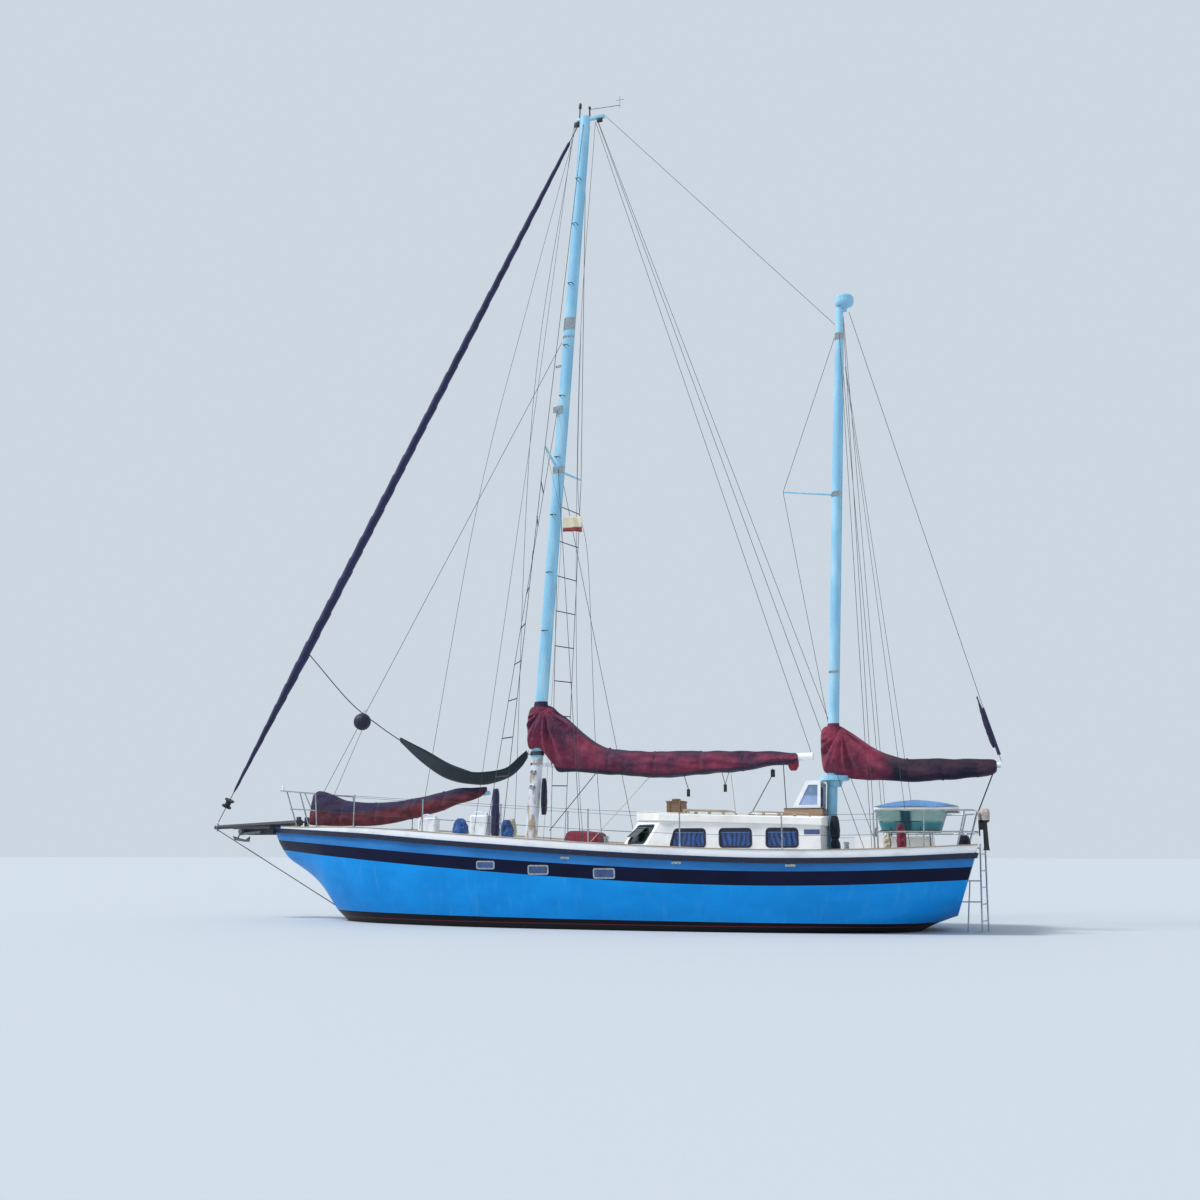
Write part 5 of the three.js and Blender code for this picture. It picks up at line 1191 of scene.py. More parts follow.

# Mizzen boom and its sail, under a cover of the same cloth, darker at its after end. It is laced and tied
# as the mainsail's is.
MIZZEN_TIES = (12.9, 13.5, 14.1)
MIZZEN_COVER_ROWS = [
    (11.37, 2.95, 3.45, 0.04), (11.4, 2.8, 3.56, 0.1), (11.48, 2.75, 3.62, 0.13),
    (11.62, 2.72, 3.64, 0.14), (11.75, 2.69, 3.6, 0.13), (11.9, 2.64, 3.5, 0.12),
    (12.1, 2.625, 3.36, 0.125), (12.43, 2.605, 3.13, 0.13), (12.78, 2.585, 3.01, 0.13),
    (13.1, 2.575, 2.985, 0.125), (13.64, 2.595, 2.965, 0.115), (14.22, 2.645, 2.95, 0.095),
    (14.38, 2.69, 2.94, 0.085), (14.43, 2.74, 2.91, 0.07),
]
rings = cover_rings(MIZZEN_COVER_ROWS, 200, 52, 0.022, 0, MIZZEN_TIES, (11.75, 3.55))
mizzen_cover = skin("mizzen_cover_cloth", rings, sharp=80)
hollow_for_mast(mizzen_cover, MIZZEN_FOOT, MIZZEN_HEAD, MIZZEN_PROFILE)
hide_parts("mizzen_cover", "mizzen_sail_collar")
mizzen_canvas, tree, shader, place, tone = canvas(
    "Maroon canvas darker aft", "#8a2843", "#561c38", "#9c4560"
)
along = add_node(tree, "SeparateXYZ", {"Vector": place}).outputs["X"]
forward = add_node(
    tree, "MapRange", {"Value": along, "From Min": -5.68, "From Max": -5.42}
).outputs["Result"]
dark = blend_colour(tree, speckle(tree, place, 3.0, 0.4, 0.75, 6.0), "#120926", "#3a1a30")
tint(tree, shader, forward, dark, tone)
dress(mizzen_cover, mizzen_canvas, None)
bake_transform(mizzen_cover)

# Gear on the booms. Ribbed polyester webbing straps round the covers, hanging blocks, and taut sheets from
# their cleats on the roof and at the stern up to the booms.
strap_web, tree, shader, place = surface("Dark polyester webbing", 0.8)
rib = add_node(tree, "TexWave", {"Vector": place, "Scale": 120.0}, bands_direction="Z").outputs["Fac"]
tint(tree, shader, rib, "#1a1730", "#34304c")
bump(tree, shader, rib, 0.001, 0.6)


def strap(rows, aft):
    """A strap drawn tight round a cover."""
    rings = []
    low, high, half = [fair(rows, aft, c) for c in (1, 2, 3)]
    for along_to, grow in ((-0.019, -0.012), (-0.016, 0.003), (0.016, 0.003), (0.019, -0.012)):
        ring = []
        for k in range(36):
            angle = 2 * math.pi * k / 36
            rise, side = (1 - math.cos(angle)) / 2, math.sin(angle)
            across = math.copysign(abs(side) ** 0.8, side)
            width = (0.86 * half + grow + 0.006) * (1.12 - 0.55 * rise**1.3) * across
            ring.append(at(aft + along_to, width, low - grow + (high - low + 2 * grow) * rise))
        rings.append(ring)
    return skin("strap", rings, sharp=30)


for sail, rows, ties in (
    ("main", MAIN_COVER_ROWS, MAIN_TIES),
    ("mizzen", MIZZEN_COVER_ROWS, MIZZEN_TIES),
    ("staysail", STAYSAIL_ROWS, STAYSAIL_TIES),
):
    straps = named(join(*[strap(rows, tie) for tie in ties]), sail + "_cover_straps")
    dress(straps, strap_web, sail + "_boom_body")


SHEAVE = [(0, 0), (0, 0.026), (0.014, 0.018), (0.028, 0.026), (0.028, 0)]


def pulley(aft, port, low, high, wide=0.055):
    """A rope block: two cheeks, a sheave between them and a strop over its top."""
    middle = (low + high) / 2
    cheeks = []
    for y in (port - 0.02, port + 0.02):
        cheeks.append(
            block("cheek", aft - wide / 2, aft + wide / 2, y - 0.006, y + 0.006, low, high - 0.02, 0.005)
        )
    sheave = turned("sheave", SHEAVE, at(aft, port - 0.014, middle), PORT, 16)
    bight = through([at(aft, port - 0.02, middle), at(aft, port, high), at(aft, port + 0.02, middle)])
    return join(*cheeks, sheave, lines("strop", [(bight, 0.005)]))


hanging = [
    pulley(8.86, 0.06, 2.36, 2.52), pulley(9.56, 0.02, 2.44, 2.6), pulley(10.46, 0.0, 2.7, 2.86, 0.075)
]
boom_lines = [
    ([at(8.78, 0.06, 2.76), at(8.86, 0.06, 2.5)], 0.007),
    ([at(9.5, 0, 2.8), at(9.56, 0.02, 2.58)], 0.006),
    ([at(9.63, 0, 2.8), at(9.56, 0.02, 2.58)], 0.006),
    ([at(7.03, 0, 2.86), at(6.06, 0, 1.74)], 0.008),
]
dress(
    named(join(*hanging, lines("boom_lines", boom_lines)), "main_boom_gear"), black,
    "main_boom_body"
)
# A sheet's name, foot, head, radius, boom, the points where its bend starts and ends, and its material.
SHEETS = [
    (
        "mainsheet", (10.2, 0.88, 2.02), (10.45, 0, 2.74), 0.008, "main_boom_body", (10.2, 0.88, 2.05),
        (10.45, 0, 2.74), black
    ),
    (
        "mainsheet_fall", (10.69, 0, 2.12), (10.66, 0, 2.93), 0.008, "main_boom_body", (10.69, 0, 2.15),
        (10.66, 0, 2.9), black
    ),
    (
        "boom_guy", (9.63, -0.62, 2.03), (9.67, 0, 2.78), 0.006, "main_boom_body", (9.63, -0.62, 2.06),
        (9.67, 0, 2.78), rope
    ),
    (
        "boom_preventer", (7.05, 0.45, 1.53), (8.1, 0, 2.76), 0.006, "main_boom_body", (7.05, 0.45, 1.56),
        (8.1, 0, 2.76), rope
    ),
    (
        "mizzen_sheet", (14.07, 0, 2.03), (14.4, 0, 2.79), 0.011, "mizzen_boom_body", (14.07, 0, 2.06),
        (14.4, 0, 2.79), black
    ),
]
for name, foot, head, radius, body, start, end, material in SHEETS:
    run = [at(*foot).lerp(at(*head), i / 16) for i in range(17)]
    sheet_line = lines(name, [(run, radius)], 2)
    dress(sheet_line, material, None)
    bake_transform(sheet_line)
cleats = []
for a, y, z in ((10.2, 0.88, 1.985), (10.69, 0, 2.115), (9.63, -0.62, 2.01)):
    cleats.append(block("cleat", a - 0.05, a + 0.05, y - 0.015, y + 0.015, z - 0.03, z + 0.012, 0.006))
dress(named(join(*cleats), "sheet_cleats"), steel)

# Collars of the covers. The same maroon canvas, gathered in soft folds round each mast over its boom and
# drawn in at the top with a cord. They stay with the mast as the boom swings.


def mast_collar(name, foot, head, low, high, fore, wide, seed):
    """The top of a cover's collar, gathered round the mast with a draw cord."""
    def ring_at(up, grow):
        return spar_ring(foot, head, (up - foot.z) / (head.z - foot.z), fore, wide, grow, 60)

    rings = []
    for i in range(25):
        up = low + (high - low) * i / 24
        middle = up_spar(foot, head, up)
        loose = 0.05 - 0.038 * (i / 24) ** 1.5 if i < 22 else 0.02 - 0.004 * (i - 22)
        ring = []
        for k, point in enumerate(ring_at(up, 0.0)):
            way = Vector((point.x - middle.x, point.y, 0)).normalized()
            angle = 2 * math.pi * k / 60
            fold = ridged(math.cos(angle) * 1.5 + seed, math.sin(angle) * 1.5, up * 2.2)
            ring.append(point + way * max(loose * (0.75 + 0.35 * fold), 0.004))
        rings.append(ring)
    return skin(name, [*rings, ring_at(high, 0.002), ring_at(low, 0.002), rings[0]], capped=False, sharp=80)


main_collar = mast_collar("main_cover_collar", MAIN_FOOT, MAIN_HEAD, 3.55, 4.27, 0.1245, 0.0875, 2.0)
dress(main_collar, main_canvas)
mizzen_collar = mast_collar("mizzen_cover_collar", MIZZEN_FOOT, MIZZEN_HEAD, 3.0, 3.66, 0.095, 0.088, 6.0)
dress(mizzen_collar, mizzen_canvas)

# Topping lifts. Wire from each masthead to its boom's end. The mizzen's is sleeved in navy cloth, and low
# down a roll of the staysail's maroon canvas is bundled and tied round it.
repaint(wire, "main_topping_lift")
repaint(navy_cloth, "mizzen_topping_lift")
WRAP_STEPS, WRAP_LOW, WRAP_RUN = 40, 0.15, 0.95
LIFT_FOOT, LIFT_HEAD = at(14.44, 0, 3.0), at(12.225, 0, 11.8)
lift_way = (LIFT_HEAD - LIFT_FOOT).normalized()
lift_side = lift_way.cross(PORT).normalized()
wrap_rings = []
for i in range(WRAP_STEPS):
    f = i / (WRAP_STEPS - 1)
    thick = 0.012 + 0.03 * math.sin(math.pi * min(f * 1.15, 1)) ** 0.6 * (1.1 - 0.5 * f)
    ring = []
    for k in range(20):
        angle = 2 * math.pi * k / 20
        out = thick * (1 + 0.22 * ridged(math.cos(angle), math.sin(angle), f * 7))
        middle = LIFT_FOOT + lift_way * (WRAP_LOW + WRAP_RUN * f)
        ring.append(middle + out * (math.cos(angle) * lift_side + math.sin(angle) * PORT))
    wrap_rings.append(ring)
lift_wrap = skin("mizzen_lift_wrap", wrap_rings, sharp=80)
# The wrap lies wholly above that canvas's shade line, so it shows its navy painted shade all over.
dress(lift_wrap, staysail_canvas_shaded_top, "mizzen_boom_body")

# Skylight under a fitted cover of maroon acrylic canvas, sagging a little on its lid and tied down round
# its coaming with a cord in the hem.
SKYLIGHT_AFT, SKYLIGHT_TOP = 6.82, 1.72
# Height of each row, how far in it lies, and its corner.
rows = [
    (1.45, 0.0, 0.05), (1.5, -0.01, 0.06), (1.6, 0.0, 0.07), (1.66, 0.01, 0.08), (1.7, 0.03, 0.1),
    (1.718, 0.06, 0.12)
]
rings = []
for up, inset, corner in rows:
    ring = []
    for k, (x, y) in enumerate(rounded(0.66 - 2 * inset, 0.7 - 2 * inset, corner, 8)):
        pleat = 0.008 * math.sin(k * 2.3) * (SKYLIGHT_TOP - up) / 0.27
        ripple = 0.014 * ridged(x * 4, y * 4, up * 3) + pleat
        ring.append(at(SKYLIGHT_AFT + x * (1 + ripple), y * (1 + ripple), up - 0.02 * (x / 0.4)))
    rings.append(ring)
for shrink in (0.8, 0.55, 0.3, 0.1):
    ring = []
    for x, y in rounded(0.54, 0.58, 0.12, 8):
        sag = 0.012 * (1 - shrink) + 0.008 * ridged(x * shrink * 5, y * shrink * 5, 2.0)
        ring.append(at(SKYLIGHT_AFT + x * shrink, y * shrink, SKYLIGHT_TOP + sag - 0.02 * x * shrink / 0.4))
    rings.append(ring)
skylight_cover = skin("skylight_cover_cloth", rings, sharp=80)
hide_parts("skylight_cover")
dress(skylight_cover, maroon)

# Deckhouse, coaming and hood. Plywood and glass cloth with rounded corners in the bulwark's white gloss
# paint, under a roof of matt cream non-slip paint, chalked. The wheel is the capping's teak.
repaint(white_paint, "deckhouse", "cockpit_coaming", "wheel_pedestal", "roof_hatch", "companion_hood")
cream_paint, tree, shader, place = surface("Cream non-slip roof paint", 0.6)
chalked = speckle(tree, place, 2.0, 0.35, 0.8, 6.0)
tint(tree, shader, chalked, "#fafaf8", "#e0e0da")
bump(tree, shader, speckle(tree, place, 200.0, 0.3, 0.7, 2.0), 0.0006, 0.6)
repaint(cream_paint, "deckhouse_roof")
repaint(wood, "steering_wheel")

# The bunched end of the mainsail's cover. Its spare canvas is gathered round the boom's end, tied, and
# hangs a little under it.
cover_end = bag("main_cover_end", 10.74, 10.955, -0.1, 0.1, 2.8, 3.15, 0.3, 0.16, 9.0)
dress(cover_end, maroon, "main_boom_body")

# Windows of the deckhouse. Tinted panes held in dark rubber gaskets, with blue curtains drawn on a pale
# rail behind the side ones. A curtain is seen through glass, so that it is drawn in the pane's own colour,
# in pleats.
rubber, tree, shader, place = surface("Navy black window rubber", 0.6)
tint(tree, shader, speckle(tree, place, 20.0, 0.3, 0.7), "#0b1230", "#1a2244")
bump(tree, shader, speckle(tree, place, 150.0, 0.3, 0.7), 0.0004, 0.5)
curtained, tree, shader, place = surface(
    "Tinted pane with blue curtains", 0.07, IOR=1.5, Coat_Weight=0.4, Coat_Roughness=0.03
)
pleats = add_node(
    tree, "TexWave", {"Vector": place, "Scale": 3.6, "Distortion": 7.0, "Detail": 2.0}, bands_direction="X"
).outputs["Fac"]
curtain = blend_colour(tree, pleats, "#0a1f4c", "#28589c")
rail = blend_colour(tree, above(tree, place, 1.668), curtain, "#6f8fc0")
tint(tree, shader, above(tree, place, 1.678), rail, "#060f34")
clear_dark, tree, shader, place = surface(
    "Dark tinted pane", 0.06, IOR=1.5, Coat_Weight=0.4, Coat_Roughness=0.03
)
tint(tree, shader, speckle(tree, place, 5.0, 0.35, 0.65), "#0d1a18", "#24382f")


def rounded_shape(corners, radius, steps=5):
    """A closed outline through corners, each rounded off."""
    points = []
    for last, corner, following in zip([corners[-1], *corners[:-1]], corners, [*corners[1:], corners[0]]):
        b, c, a = Vector(last), Vector(corner), Vector(following)
        start, end = c + (b - c).normalized() * radius, c + (a - c).normalized() * radius
        for k in range(steps + 1):
            f = k / steps
            points.append(start * (1 - f) ** 2 + c * 2 * f * (1 - f) + end * f**2)
    return points


def grown(outline, by):
    """An outline moved outwards."""
    middle = sum(outline, Vector((0, 0))) / len(outline)
    made = []
    for before_point, point, after_point in zip(
        [outline[-1], *outline[:-1]], outline, [*outline[1:], outline[0]]
    ):
        way = (after_point - before_point).normalized()
        out = Vector((way.y, -way.x))
        made.append(point + out * by * (1 if out.dot(point - middle) > 0 else -1))
    return made


def gasket(outline, lay, deep=0.036):
    """A rubber lip round an opening. lay puts a flat point at a distance out of the wall."""
    lip = [(0.024, 0.0006), (0.024, 0.006), (0.018, 0.01), (-0.006, 0.01), (-0.012, 0.006)]
    section = [*lip, (-0.012, -deep), (-0.0015, -deep), (-0.0015, 0.0006), lip[0]]
    rings = [[lay(point, out) for point in grown(outline, by)] for by, out in section]
    return skin("gasket", rings, capped=False, sharp=50)


def pane(outline, lay, out):
    """A thin slab of glass with its outer face at a distance out of the wall."""
    middle = sum(outline, Vector((0, 0))) / len(outline)
    slab = ((1.0, out - 0.006), (1.0, out), (0.6, out), (0.2, out))
    rings = [[lay(middle + (point - middle) * f, deep) for point in outline] for f, deep in slab]
    return skin("pane", rings, sharp=30)


# Distance aft of each side window's lower and upper fore corners, and of its after edge.
SIDE_WINDOWS = [(8.8, 8.89, 9.42), (9.7, 9.7, 10.24), (10.52, 10.53, 11.05)]
# The quarter window's open flap: how far in, and how far out of the wall, before it leans.
FLAP_SECTION = [(0, 0.014), (0, 0.022), (-0.02, 0.024), (-0.02, 0.012)]
seals, curtain_panes, dark_panes = [], [], []
for side in (1, -1):

    def on_wall(point, out):
        return at(point[0], side * (1.3 + out), point[1])

    for fore_low, fore_high, aft in SIDE_WINDOWS:
        outline = rounded_shape([(fore_low, 1.43), (aft, 1.43), (aft, 1.725), (fore_high, 1.725)], 0.055)
        seals.append(gasket(outline, on_wall))
        curtain_panes.append(pane(grown(outline, -0.004), on_wall, -0.018))

    def on_quarter(point, out):
        x, z = point
        run = x + 0.45 * z
        drop = out - 0.465 * z
        aft_way, out_way = Vector((-0.698, side * 0.716, 0)), Vector((0.716, side * 0.698, 0))
        return at(8.18, side * 1.0, 1.65 + z) + run * aft_way + drop * out_way

    outline = rounded_shape([(-0.3, -0.15), (0.3, -0.15), (0.3, 0.15), (-0.3, 0.15)], 0.05)
    seals.append(gasket(outline, on_quarter, 0.02))
    dark_panes.append(pane(grown(outline, -0.004), on_quarter, -0.012))
    flap = rounded_shape([(-0.27, -0.05), (0.1, -0.05), (0.1, 0.13), (-0.27, 0.13)], 0.03)
    rings = []
    for by, out in FLAP_SECTION:
        rings.append([on_quarter(point, out + 0.55 * (0.13 - point[1])) for point in grown(flap, by)])
    dark_panes.append(skin("vent", rings, sharp=30))

    def on_nose(point, out):
        return at(
            7.7 + 0.36 * (point[1] - 1.37) / 0.535 - out * 0.83, side * point[0], point[1] + out * 0.56
        )

    outline = rounded_shape([(0.06, 1.57), (0.61, 1.57), (0.61, 1.8), (0.06, 1.8)], 0.04)
    seals.append(gasket(outline, on_nose, 0.02))
    dark_panes.append(pane(grown(outline, -0.004), on_nose, -0.012))
dress(named(join(*seals), "window_gaskets"), rubber)
side_panes = named(join(*curtain_panes), "side_window_panes")
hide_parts("side_glazing_port", "side_glazing_starboard")
dress(side_panes, curtained)
dress(named(join(*dark_panes), "quarter_and_nose_panes"), clear_dark)

# Roof gear. Teak handrails on feet, a spar in chocks beside a box of oiled timber with a strapped lid, and
# the companion's coaming of bleached mahogany with a dark top rail, all screwed down. The enamelled plate
# on the house's side is blank.
plate_paint, tree, shader, place = surface("Blue grey enamelled plate", 0.3)
tint(tree, shader, speckle(tree, place, 30.0, 0.3, 0.7), "#3f527c", "#54688f")
bump(tree, shader, speckle(tree, place, 60.0, 0.3, 0.7), 0.0004, 0.4)
plates = [block("plate", 11.17, 11.44, s * 1.3004, s * 1.308, 1.635, 1.715, 0.002) for s in (1, -1)]
dress(named(join(*plates), "blank_plates"), plate_paint)


# The roof's fore edge and length, its height there and its fall aft, its thickness, camber and half
# breadth.
ROOF_FORE, ROOF_RUN, ROOF_LOW, ROOF_FALL = 8.06, 3.39, 1.905, 0.115
ROOF_THICK, ROOF_CAMBER, ROOF_HALF = 0.1155, 0.065, 1.34


def roof_up(aft, port):
    """The height of the roof's upper face."""
    wall = ROOF_LOW - (aft - ROOF_FORE) / ROOF_RUN * ROOF_FALL
    return wall + ROOF_THICK + ROOF_CAMBER * (1 - (port / ROOF_HALF) ** 2)


rails = []
for side in (1, -1):
    for fore, aft in ((8.95, 9.95), (10.15, 11.25)):
        y = side * 0.98
        rail = [at(fore, y, roof_up(fore, y) - 0.006), at(fore + 0.06, y, roof_up(fore, y) + 0.05)]
        for k in range(1, 6):
            x = fore + (aft - fore) * k / 6
            rail.append(at(x, y, roof_up(x, y) + 0.058))
        rail += [at(aft - 0.06, y, roof_up(aft, y) + 0.05), at(aft, y, roof_up(aft, y) - 0.006)]
        rails.append(lines("rail", [(through(rail, 5), 0.014)], 3))
        for k in (1, 2, 3):
            x = fore + (aft - fore) * k / 4
            up = roof_up(x, y)
            rails.append(
                block("foot", x - 0.03, x + 0.03, y - 0.012, y + 0.012, up - 0.01, up + 0.05, 0.006)
            )
SPAR_PORT = 0.72
spar = [at(x, SPAR_PORT, roof_up(x, SPAR_PORT) + 0.05) for x in (8.9, 9.75)]
rails.append(lines("spare_spar", [(spar, 0.02)], 4))
for x in (9.0, 9.65):
    up = roof_up(x, SPAR_PORT)
    rails.append(block("chock", x - 0.02, x + 0.02, 0.69, 0.75, up - 0.01, up + 0.035, 0.006))
dress(named(join(*rails), "roof_handrails"), wood)
brown_wood, tree, shader, place = surface("Sun-bleached brown mahogany", 0.6)
grain_line = add_node(
    tree, "TexWave", {"Vector": place, "Scale": 11.0, "Distortion": 5.0, "Detail": 3.0},
    bands_direction="Z"
).outputs["Fac"]
bare = blend_colour(tree, grain_line, "#a88a74", "#84684e")
tint(tree, shader, above(tree, place, 2.088, 0.004), bare, "#3f3733")
bump(tree, shader, grain_line, 0.001, 0.6)
repaint(brown_wood, "companion_coaming")
box_wood, tree, shader, place = surface("Brown box of oiled timber", 0.6)
grain_line = add_node(
    tree, "TexWave", {"Vector": place, "Scale": 12.0, "Distortion": 4.0, "Detail": 3.0},
    bands_direction="Z"
).outputs["Fac"]
tint(tree, shader, grain_line, "#8a6a50", "#5d4736")
bump(tree, shader, grain_line, 0.001, 0.6)
repaint(box_wood, "roof_box")
lid = [block("box_lid", 8.575, 8.905, 0.335, 0.715, 2.236, 2.258, 0.006)]
lid.append(block("box_lump", 8.66, 8.8, 0.42, 0.6, 2.258, 2.3, 0.018, 3))
lid += [block("box_strap", x - 0.012, x + 0.012, 0.334, 0.716, 2.0, 2.26, 0.003) for x in (8.64, 8.84)]
dress(named(join(*lid), "roof_box_lid"), box_wood)

# Panes of the companion hood. Clear acrylic sheet let into its sides and its sloping front, so weathered
# that it has gone milky and shows pale blue, darker low down.
milky, tree, shader, place = surface("Weathered clear acrylic", 0.12, IOR=1.49, Coat_Weight=0.3)
haze = speckle(tree, place, 6.0, 0.3, 0.7, 5.0)
pale, deep = blend_colour(tree, haze, "#a5b9e0", "#8ea2cc"), blend_colour(tree, haze, "#7b93b8", "#66809f")
tint(tree, shader, above(tree, place, 2.33, 0.02), pale, deep)
hood_panes = []
for side in (1, -1):

    def on_hood(point, out):
        return at(point[0], side * (0.44 + out), point[1])

    outline = rounded_shape([(10.985, 2.17), (11.308, 2.17), (11.322, 2.52), (11.165, 2.52)], 0.02)
    hood_panes.append(pane(grown(outline, 0.008), on_hood, -0.012))


def on_front(point, out):
    return at(10.86 + 0.265 * (point[1] - 2.1105) / 0.4895 - out, point[0], point[1])


outline = rounded_shape([(-0.37, 2.162), (0.37, 2.162), (0.37, 2.52), (-0.37, 2.52)], 0.02)
hood_panes.append(pane(outline, on_front, -0.013))
dress(named(join(*hood_panes), "hood_panes"), milky)

# Bags about the deck, sewn of acrylic canvas and tied down: a navy black sail bag in two lumps against the
# mizzen mast, one for the halyards at the main mast, one at the stern, and a maroon and a cream one beside
# the cockpit. They are soft, drawn in at both ends and creased.
dark_canvas, tree, shader, place, tone = canvas("Navy black canvas", "#111a38", "#060a1c", "#2a3558")
tree.links.new(tone, shader.inputs["Base Color"])
for name, fore, aft, port0, port1, low, high, seed in (
    ("mizzen_bag_low", 11.5, 11.68, 0.11, 0.42, 1.32, 1.57, 2.0),
    ("mizzen_bag_high", 11.5, 11.68, 0.11, 0.4, 1.54, 1.99, 5.0),
    ("stern_bag", 13.7, 13.92, 1.05, 1.3, 1.335, 1.62, 8.0),
    ("halyard_bag", 5.915, 6.04, 0.02, 0.16, 2.02, 2.78, 6.0),
):
    made = bag(name, fore, aft, port0, port1, low, high, 0.2, 0.1, seed, 0.22)
    dress(made, dark_canvas)
for name, fore, aft, port0, port1, low, high, material, slot in (
    ("maroon_bag", 12.71, 12.88, 1.1, 1.36, 1.33, 1.83, maroon, "maroon_canvas"),
    ("grey_bag", 12.49, 12.63, 1.12, 1.36, 1.33, 1.66, rope, "grey_canvas"),
):
    made = bag(name, fore, aft, port0, port1, low, high, 0.25, 0.16, fore, 0.25)
    dress(made, material)

# Deck winches, two by the house and two by the cockpit. Turned stainless steel drums with a waist and a
# lip, on round pads that are bolted to the deck.
PAD = [(0, 0), (0, 0.08), (0.05, 0.075), (0.06, 0.06), (0.06, 0)]
WAIST = [
    (0, 0), (0, 0.062), (0.02, 0.062), (0.03, 0.045), (0.11, 0.04), (0.13, 0.052), (0.15, 0.052),
    (0.16, 0.03), (0.16, 0)
]
winches = []
for a, y in ((7.72, 1.66), (7.72, -1.66), (11.9, 1.45), (11.9, -1.45)):
    z = deck_up(a, abs(y))
    winches.append(turned("pad", PAD, at(a, y, z - 0.01), UP))
    winches.append(turned("drum", WAIST, at(a, y, z + 0.05), UP))
dress(named(join(*winches), "deck_winches"), steel)

# Outboard motor stowed on the stern rail, clamped to a pad. A moulded cowl in pale paint, mottled with age,
# over a leg in black.
outboard_paint, tree, shader, place = surface("Pale cowl paint over black leg", 0.4)
cowl_tone = blend_colour(tree, speckle(tree, place, 8.0, 0.4, 0.75, 5.0), "#c9b9b0", "#8d8684")
leg_tone = blend_colour(tree, speckle(tree, place, 10.0, 0.4, 0.7), "#14161c", "#2b2a30")
tint(tree, shader, above(tree, place, 1.86), leg_tone, cowl_tone)
bump(tree, shader, speckle(tree, place, 90.0, 0.3, 0.7), 0.0005, 0.5)
repaint(outboard_paint, "stowed_outboard")

# Shelter over the cockpit. Sides of grey green acrylic canvas, darker low down and dark green in the
# middle, hang from steel hoops below a cream band, and a crown of faded blue canvas is laced over them.
grey_cloth, tree, shader, place = surface("Grey green acrylic canvas", 0.85, Sheen_Weight=0.2)
along = add_node(tree, "SeparateXYZ", {"Vector": place}).outputs["X"]
cloud = speckle(tree, place, 5.0, 0.35, 0.75, 5.0)
sides = blend_colour(tree, cloud, "#9dbcb8", "#7fa3a2")
lower = blend_colour(
    tree, above(tree, place, 1.85, 0.03), blend_colour(tree, cloud, "#3f8f98", "#2f7480"), sides
)
# The dark green middle lies between two soft edges.
edges = []
for start, end in ((-5.97, -5.93), (-5.75, -5.79)):
    edges.append(
        add_node(tree, "MapRange", {"Value": along, "From Min": start, "From Max": end}).outputs["Result"]
    )
inside = add_node(tree, "Math", {0: edges[0], 1: edges[1]}, operation="MULTIPLY").outputs[0]
tint(tree, shader, inside, lower, "#0e4a5a")
bump(tree, shader, add_node(tree, "TexWave", {"Vector": place, "Scale": 220.0}).outputs["Fac"], 0.0006, 0.6)


def shelter_ring(fore, aft, half, up):
    """A rounded outline of the shelter at a height."""
    return [at((fore + aft) / 2 + x, y, up) for x, y in rounded(aft - fore, 2 * half, 0.12, 6)]


def spread(outline_points, count=120):
    """Points at equal steps round a closed outline."""
    loop = [*outline_points, outline_points[0]]
    total = sum((b - a).length for a, b in zip(loop, loop[1:]))
    made, walked, i = [], 0.0, 0
    for k in range(count):
        want = total * k / count
        while walked + (loop[i + 1] - loop[i]).length < want:
            walked += (loop[i + 1] - loop[i]).length
            i += 1
        step = max((loop[i + 1] - loop[i]).length, 1e-6)
        made.append(loop[i].lerp(loop[i + 1], (want - walked) / step))
    return made


rings = []
for i in range(13):
    f = i / 12
    fore, aft, half = 12.345 + 0.1 * f, 13.53 - 0.125 * f, 0.845 - 0.12 * f
    up = 2.035 - 0.36 * f
    ring = []
    for point in spread(shelter_ring(fore, aft, half, up)):
        sway = 0.010 * f * ridged(point.x * 3.1, point.y * 3.1, 1.5)
        drop = 0.012 * f * noise.noise(Vector((point.x * 4, point.y * 4, 0)))
        ring.append(point + Vector((point.x + 5.94, point.y, 0)).normalized() * sway + Vector((0, 0, drop)))
    rings.append(ring)
curtains = skin("shelter_side_cloth", rings, capped=False, sharp=80)
thicken(curtains, 0.003)
dress(curtains, grey_cloth)

blue_cloth, tree, shader, place, tone = canvas("Faded blue shelter canvas", "#4f86bd", "#3f72a8", "#7fa6cf")
tree.links.new(tone, shader.inputs["Base Color"])
rings = []
for f, rise in ((0, 0), (0.12, 0.028), (0.3, 0.066), (0.5, 0.1), (0.7, 0.124), (0.85, 0.137), (0.97, 0.143)):
    fore, aft, half = 12.325 + (12.95 - 12.325) * f, 13.745 - (13.745 - 13.03) * f, 0.855 * (1 - f) + 0.02
    ring = []
    for point in spread(shelter_ring(fore, aft, half, 2.1 + rise), 96):
        slack = 0.008 * (1 - f) * ridged(point.x * 2.6, point.y * 1.3, 4.0)
        ring.append(point + Vector((0, 0, slack)))
    rings.append(ring)
crown = skin("shelter_crown_cloth", rings, capped=False, sharp=80)
bpy.ops.object.mode_set(mode="EDIT")
bpy.ops.mesh.select_all(action="DESELECT")
bpy.ops.object.mode_set(mode="OBJECT")
for vertex in crown.data.vertices:
    vertex.select = abs(vertex.co.y) < 0.08 and vertex.co.z > 2.22
bpy.ops.object.mode_set(mode="EDIT")
bpy.ops.mesh.select_mode(type="VERT")
bpy.ops.mesh.fill_holes(sides=0)
bpy.ops.object.mode_set(mode="OBJECT")
thicken(crown, 0.003)
cream_web, tree, shader, place = surface("Cream bolt rope webbing", 0.8)
stitched = add_node(tree, "TexWave", {"Vector": place, "Scale": 60.0}, bands_direction="X").outputs["Fac"]
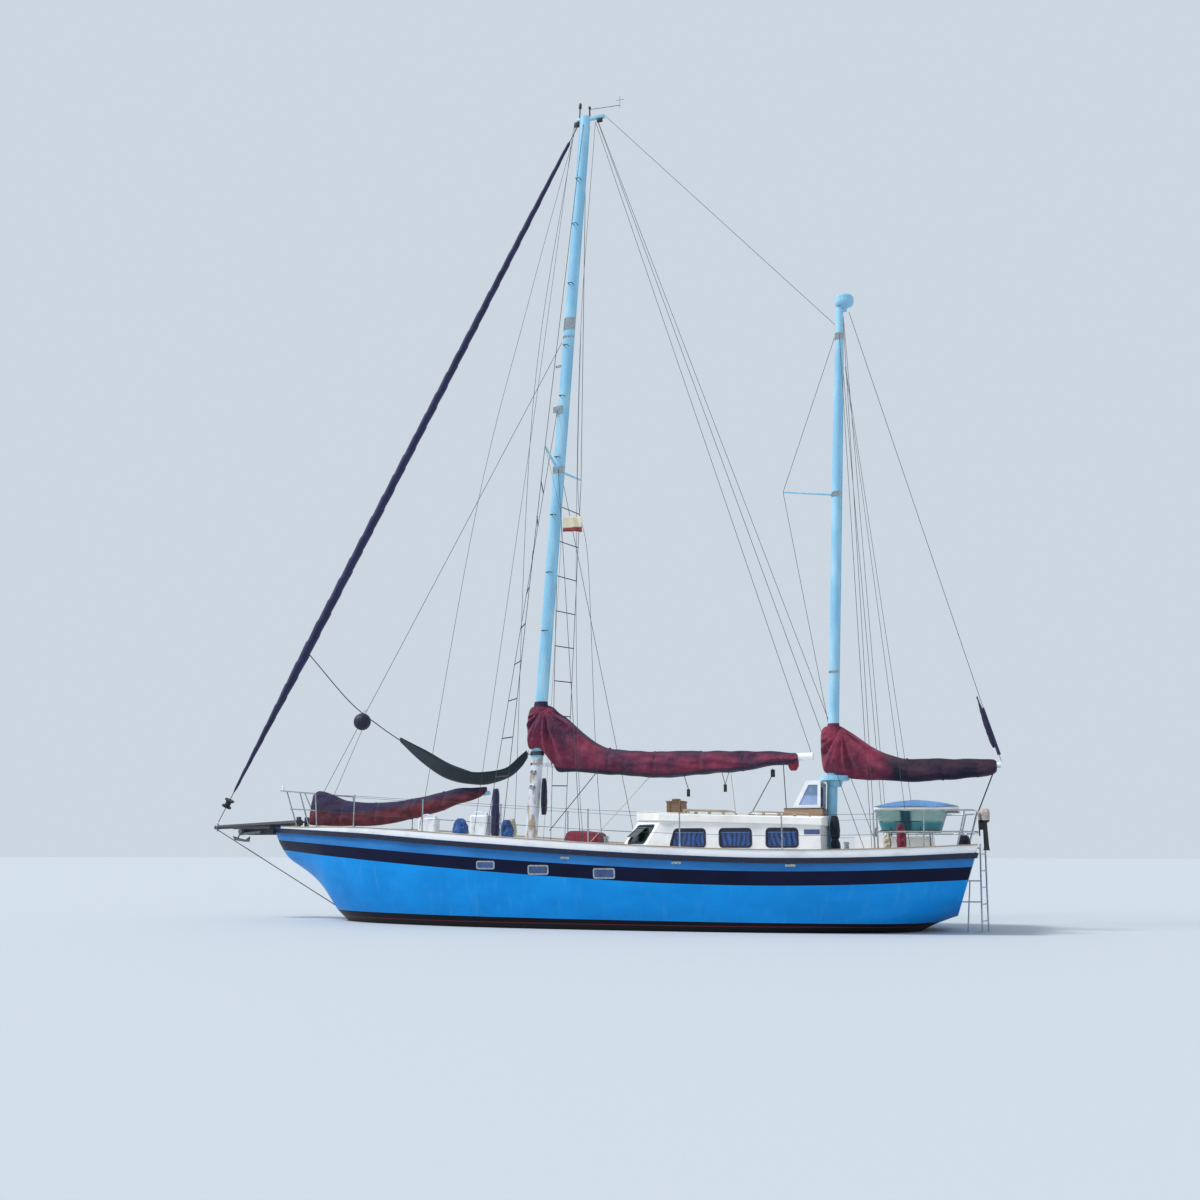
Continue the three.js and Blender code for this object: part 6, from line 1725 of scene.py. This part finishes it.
tint(tree, shader, stitched, "#eeeee6", "#d3d5cc")
bump(tree, shader, stitched, 0.001, 0.5)
# The band's section: how far out of the shelter's side, and how high.
RIM = [
    (0.0, 2.03), (0.012, 2.036), (0.014, 2.066), (0.012, 2.097), (0.0, 2.103), (-0.012, 2.097),
    (-0.012, 2.036), (0.0, 2.03)
]
rim_rings = []
for out, up in RIM:
    rim_rings.append(spread(shelter_ring(12.332 - out, 13.738 + out, 0.85 + out, up), 96))
rim = skin("shelter_rim", rim_rings, capped=False, sharp=80)
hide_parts("cockpit_shelter")
dress(crown, blue_cloth)
dress(rim, cream_web)
bars = []
for z in (1.85, 1.7):
    bars.append((through([at(12.42, 0.76, z), at(12.9, 0.79, z), at(13.42, 0.76, z)]), 0.008))
for a in (12.6, 12.85, 13.1):
    bars.append(([at(a, 0.8, 2.04), at(a, 0.735, 1.66)], 0.007))
dress(lines("shelter_battens", bars, 2), black)

# Stage. A plain pale floor at the waterline, a pale surround and one soft sun from ahead and to port. The
# camera stands off her port side, just over the water, and looks up at her.
FLOOR_SIZE, SURROUND_STRENGTH, SUN_STRENGTH, SUN_ANGLE, SUN_WAY = 600, 0.82, 2.6, 14, (-0.567, -0.3, -0.82)
CAMERA_PLACE, CAMERA_WAY, CAMERA_PITCH, CAMERA_LENS = (-6.97, 22.49, 1.32), (0.2924, -0.9563), 11.9, 36
floor_paint, tree, shader, place = surface("Pale studio floor", 0.9)
shader.inputs["Base Color"].default_value = linear("#bdc3c9")
bpy.ops.mesh.primitive_plane_add(size=FLOOR_SIZE, location=(0, 0, 0))
floor = bpy.context.object
floor.name = "studio_floor"
floor.data.materials.append(floor_paint)
world = bpy.data.worlds.new("pale_studio")
bpy.context.scene.world = world
world.use_nodes = True
world.node_tree.nodes["Background"].inputs["Color"].default_value = linear("#dfeaf5")
world.node_tree.nodes["Background"].inputs["Strength"].default_value = SURROUND_STRENGTH
bpy.context.scene.view_settings.view_transform = "Standard"
bpy.ops.object.light_add(type="SUN", location=(10, 4, 24))
key_light = bpy.context.object
key_light.name = "key_light"
key_light.data.energy = SUN_STRENGTH
key_light.data.angle = math.radians(SUN_ANGLE)
key_light.rotation_euler = Vector(SUN_WAY).to_track_quat("-Z", "Y").to_euler()
bpy.ops.object.camera_add(location=CAMERA_PLACE)
camera = bpy.context.object
pitch = math.radians(CAMERA_PITCH)
view_way = Vector((CAMERA_WAY[0] * math.cos(pitch), CAMERA_WAY[1] * math.cos(pitch), math.sin(pitch)))
camera.rotation_euler = view_way.to_track_quat("-Z", "Y").to_euler()
camera.data.lens = CAMERA_LENS
camera.data.sensor_width = 36
camera.data.clip_end = 2000
bpy.context.scene.camera = camera
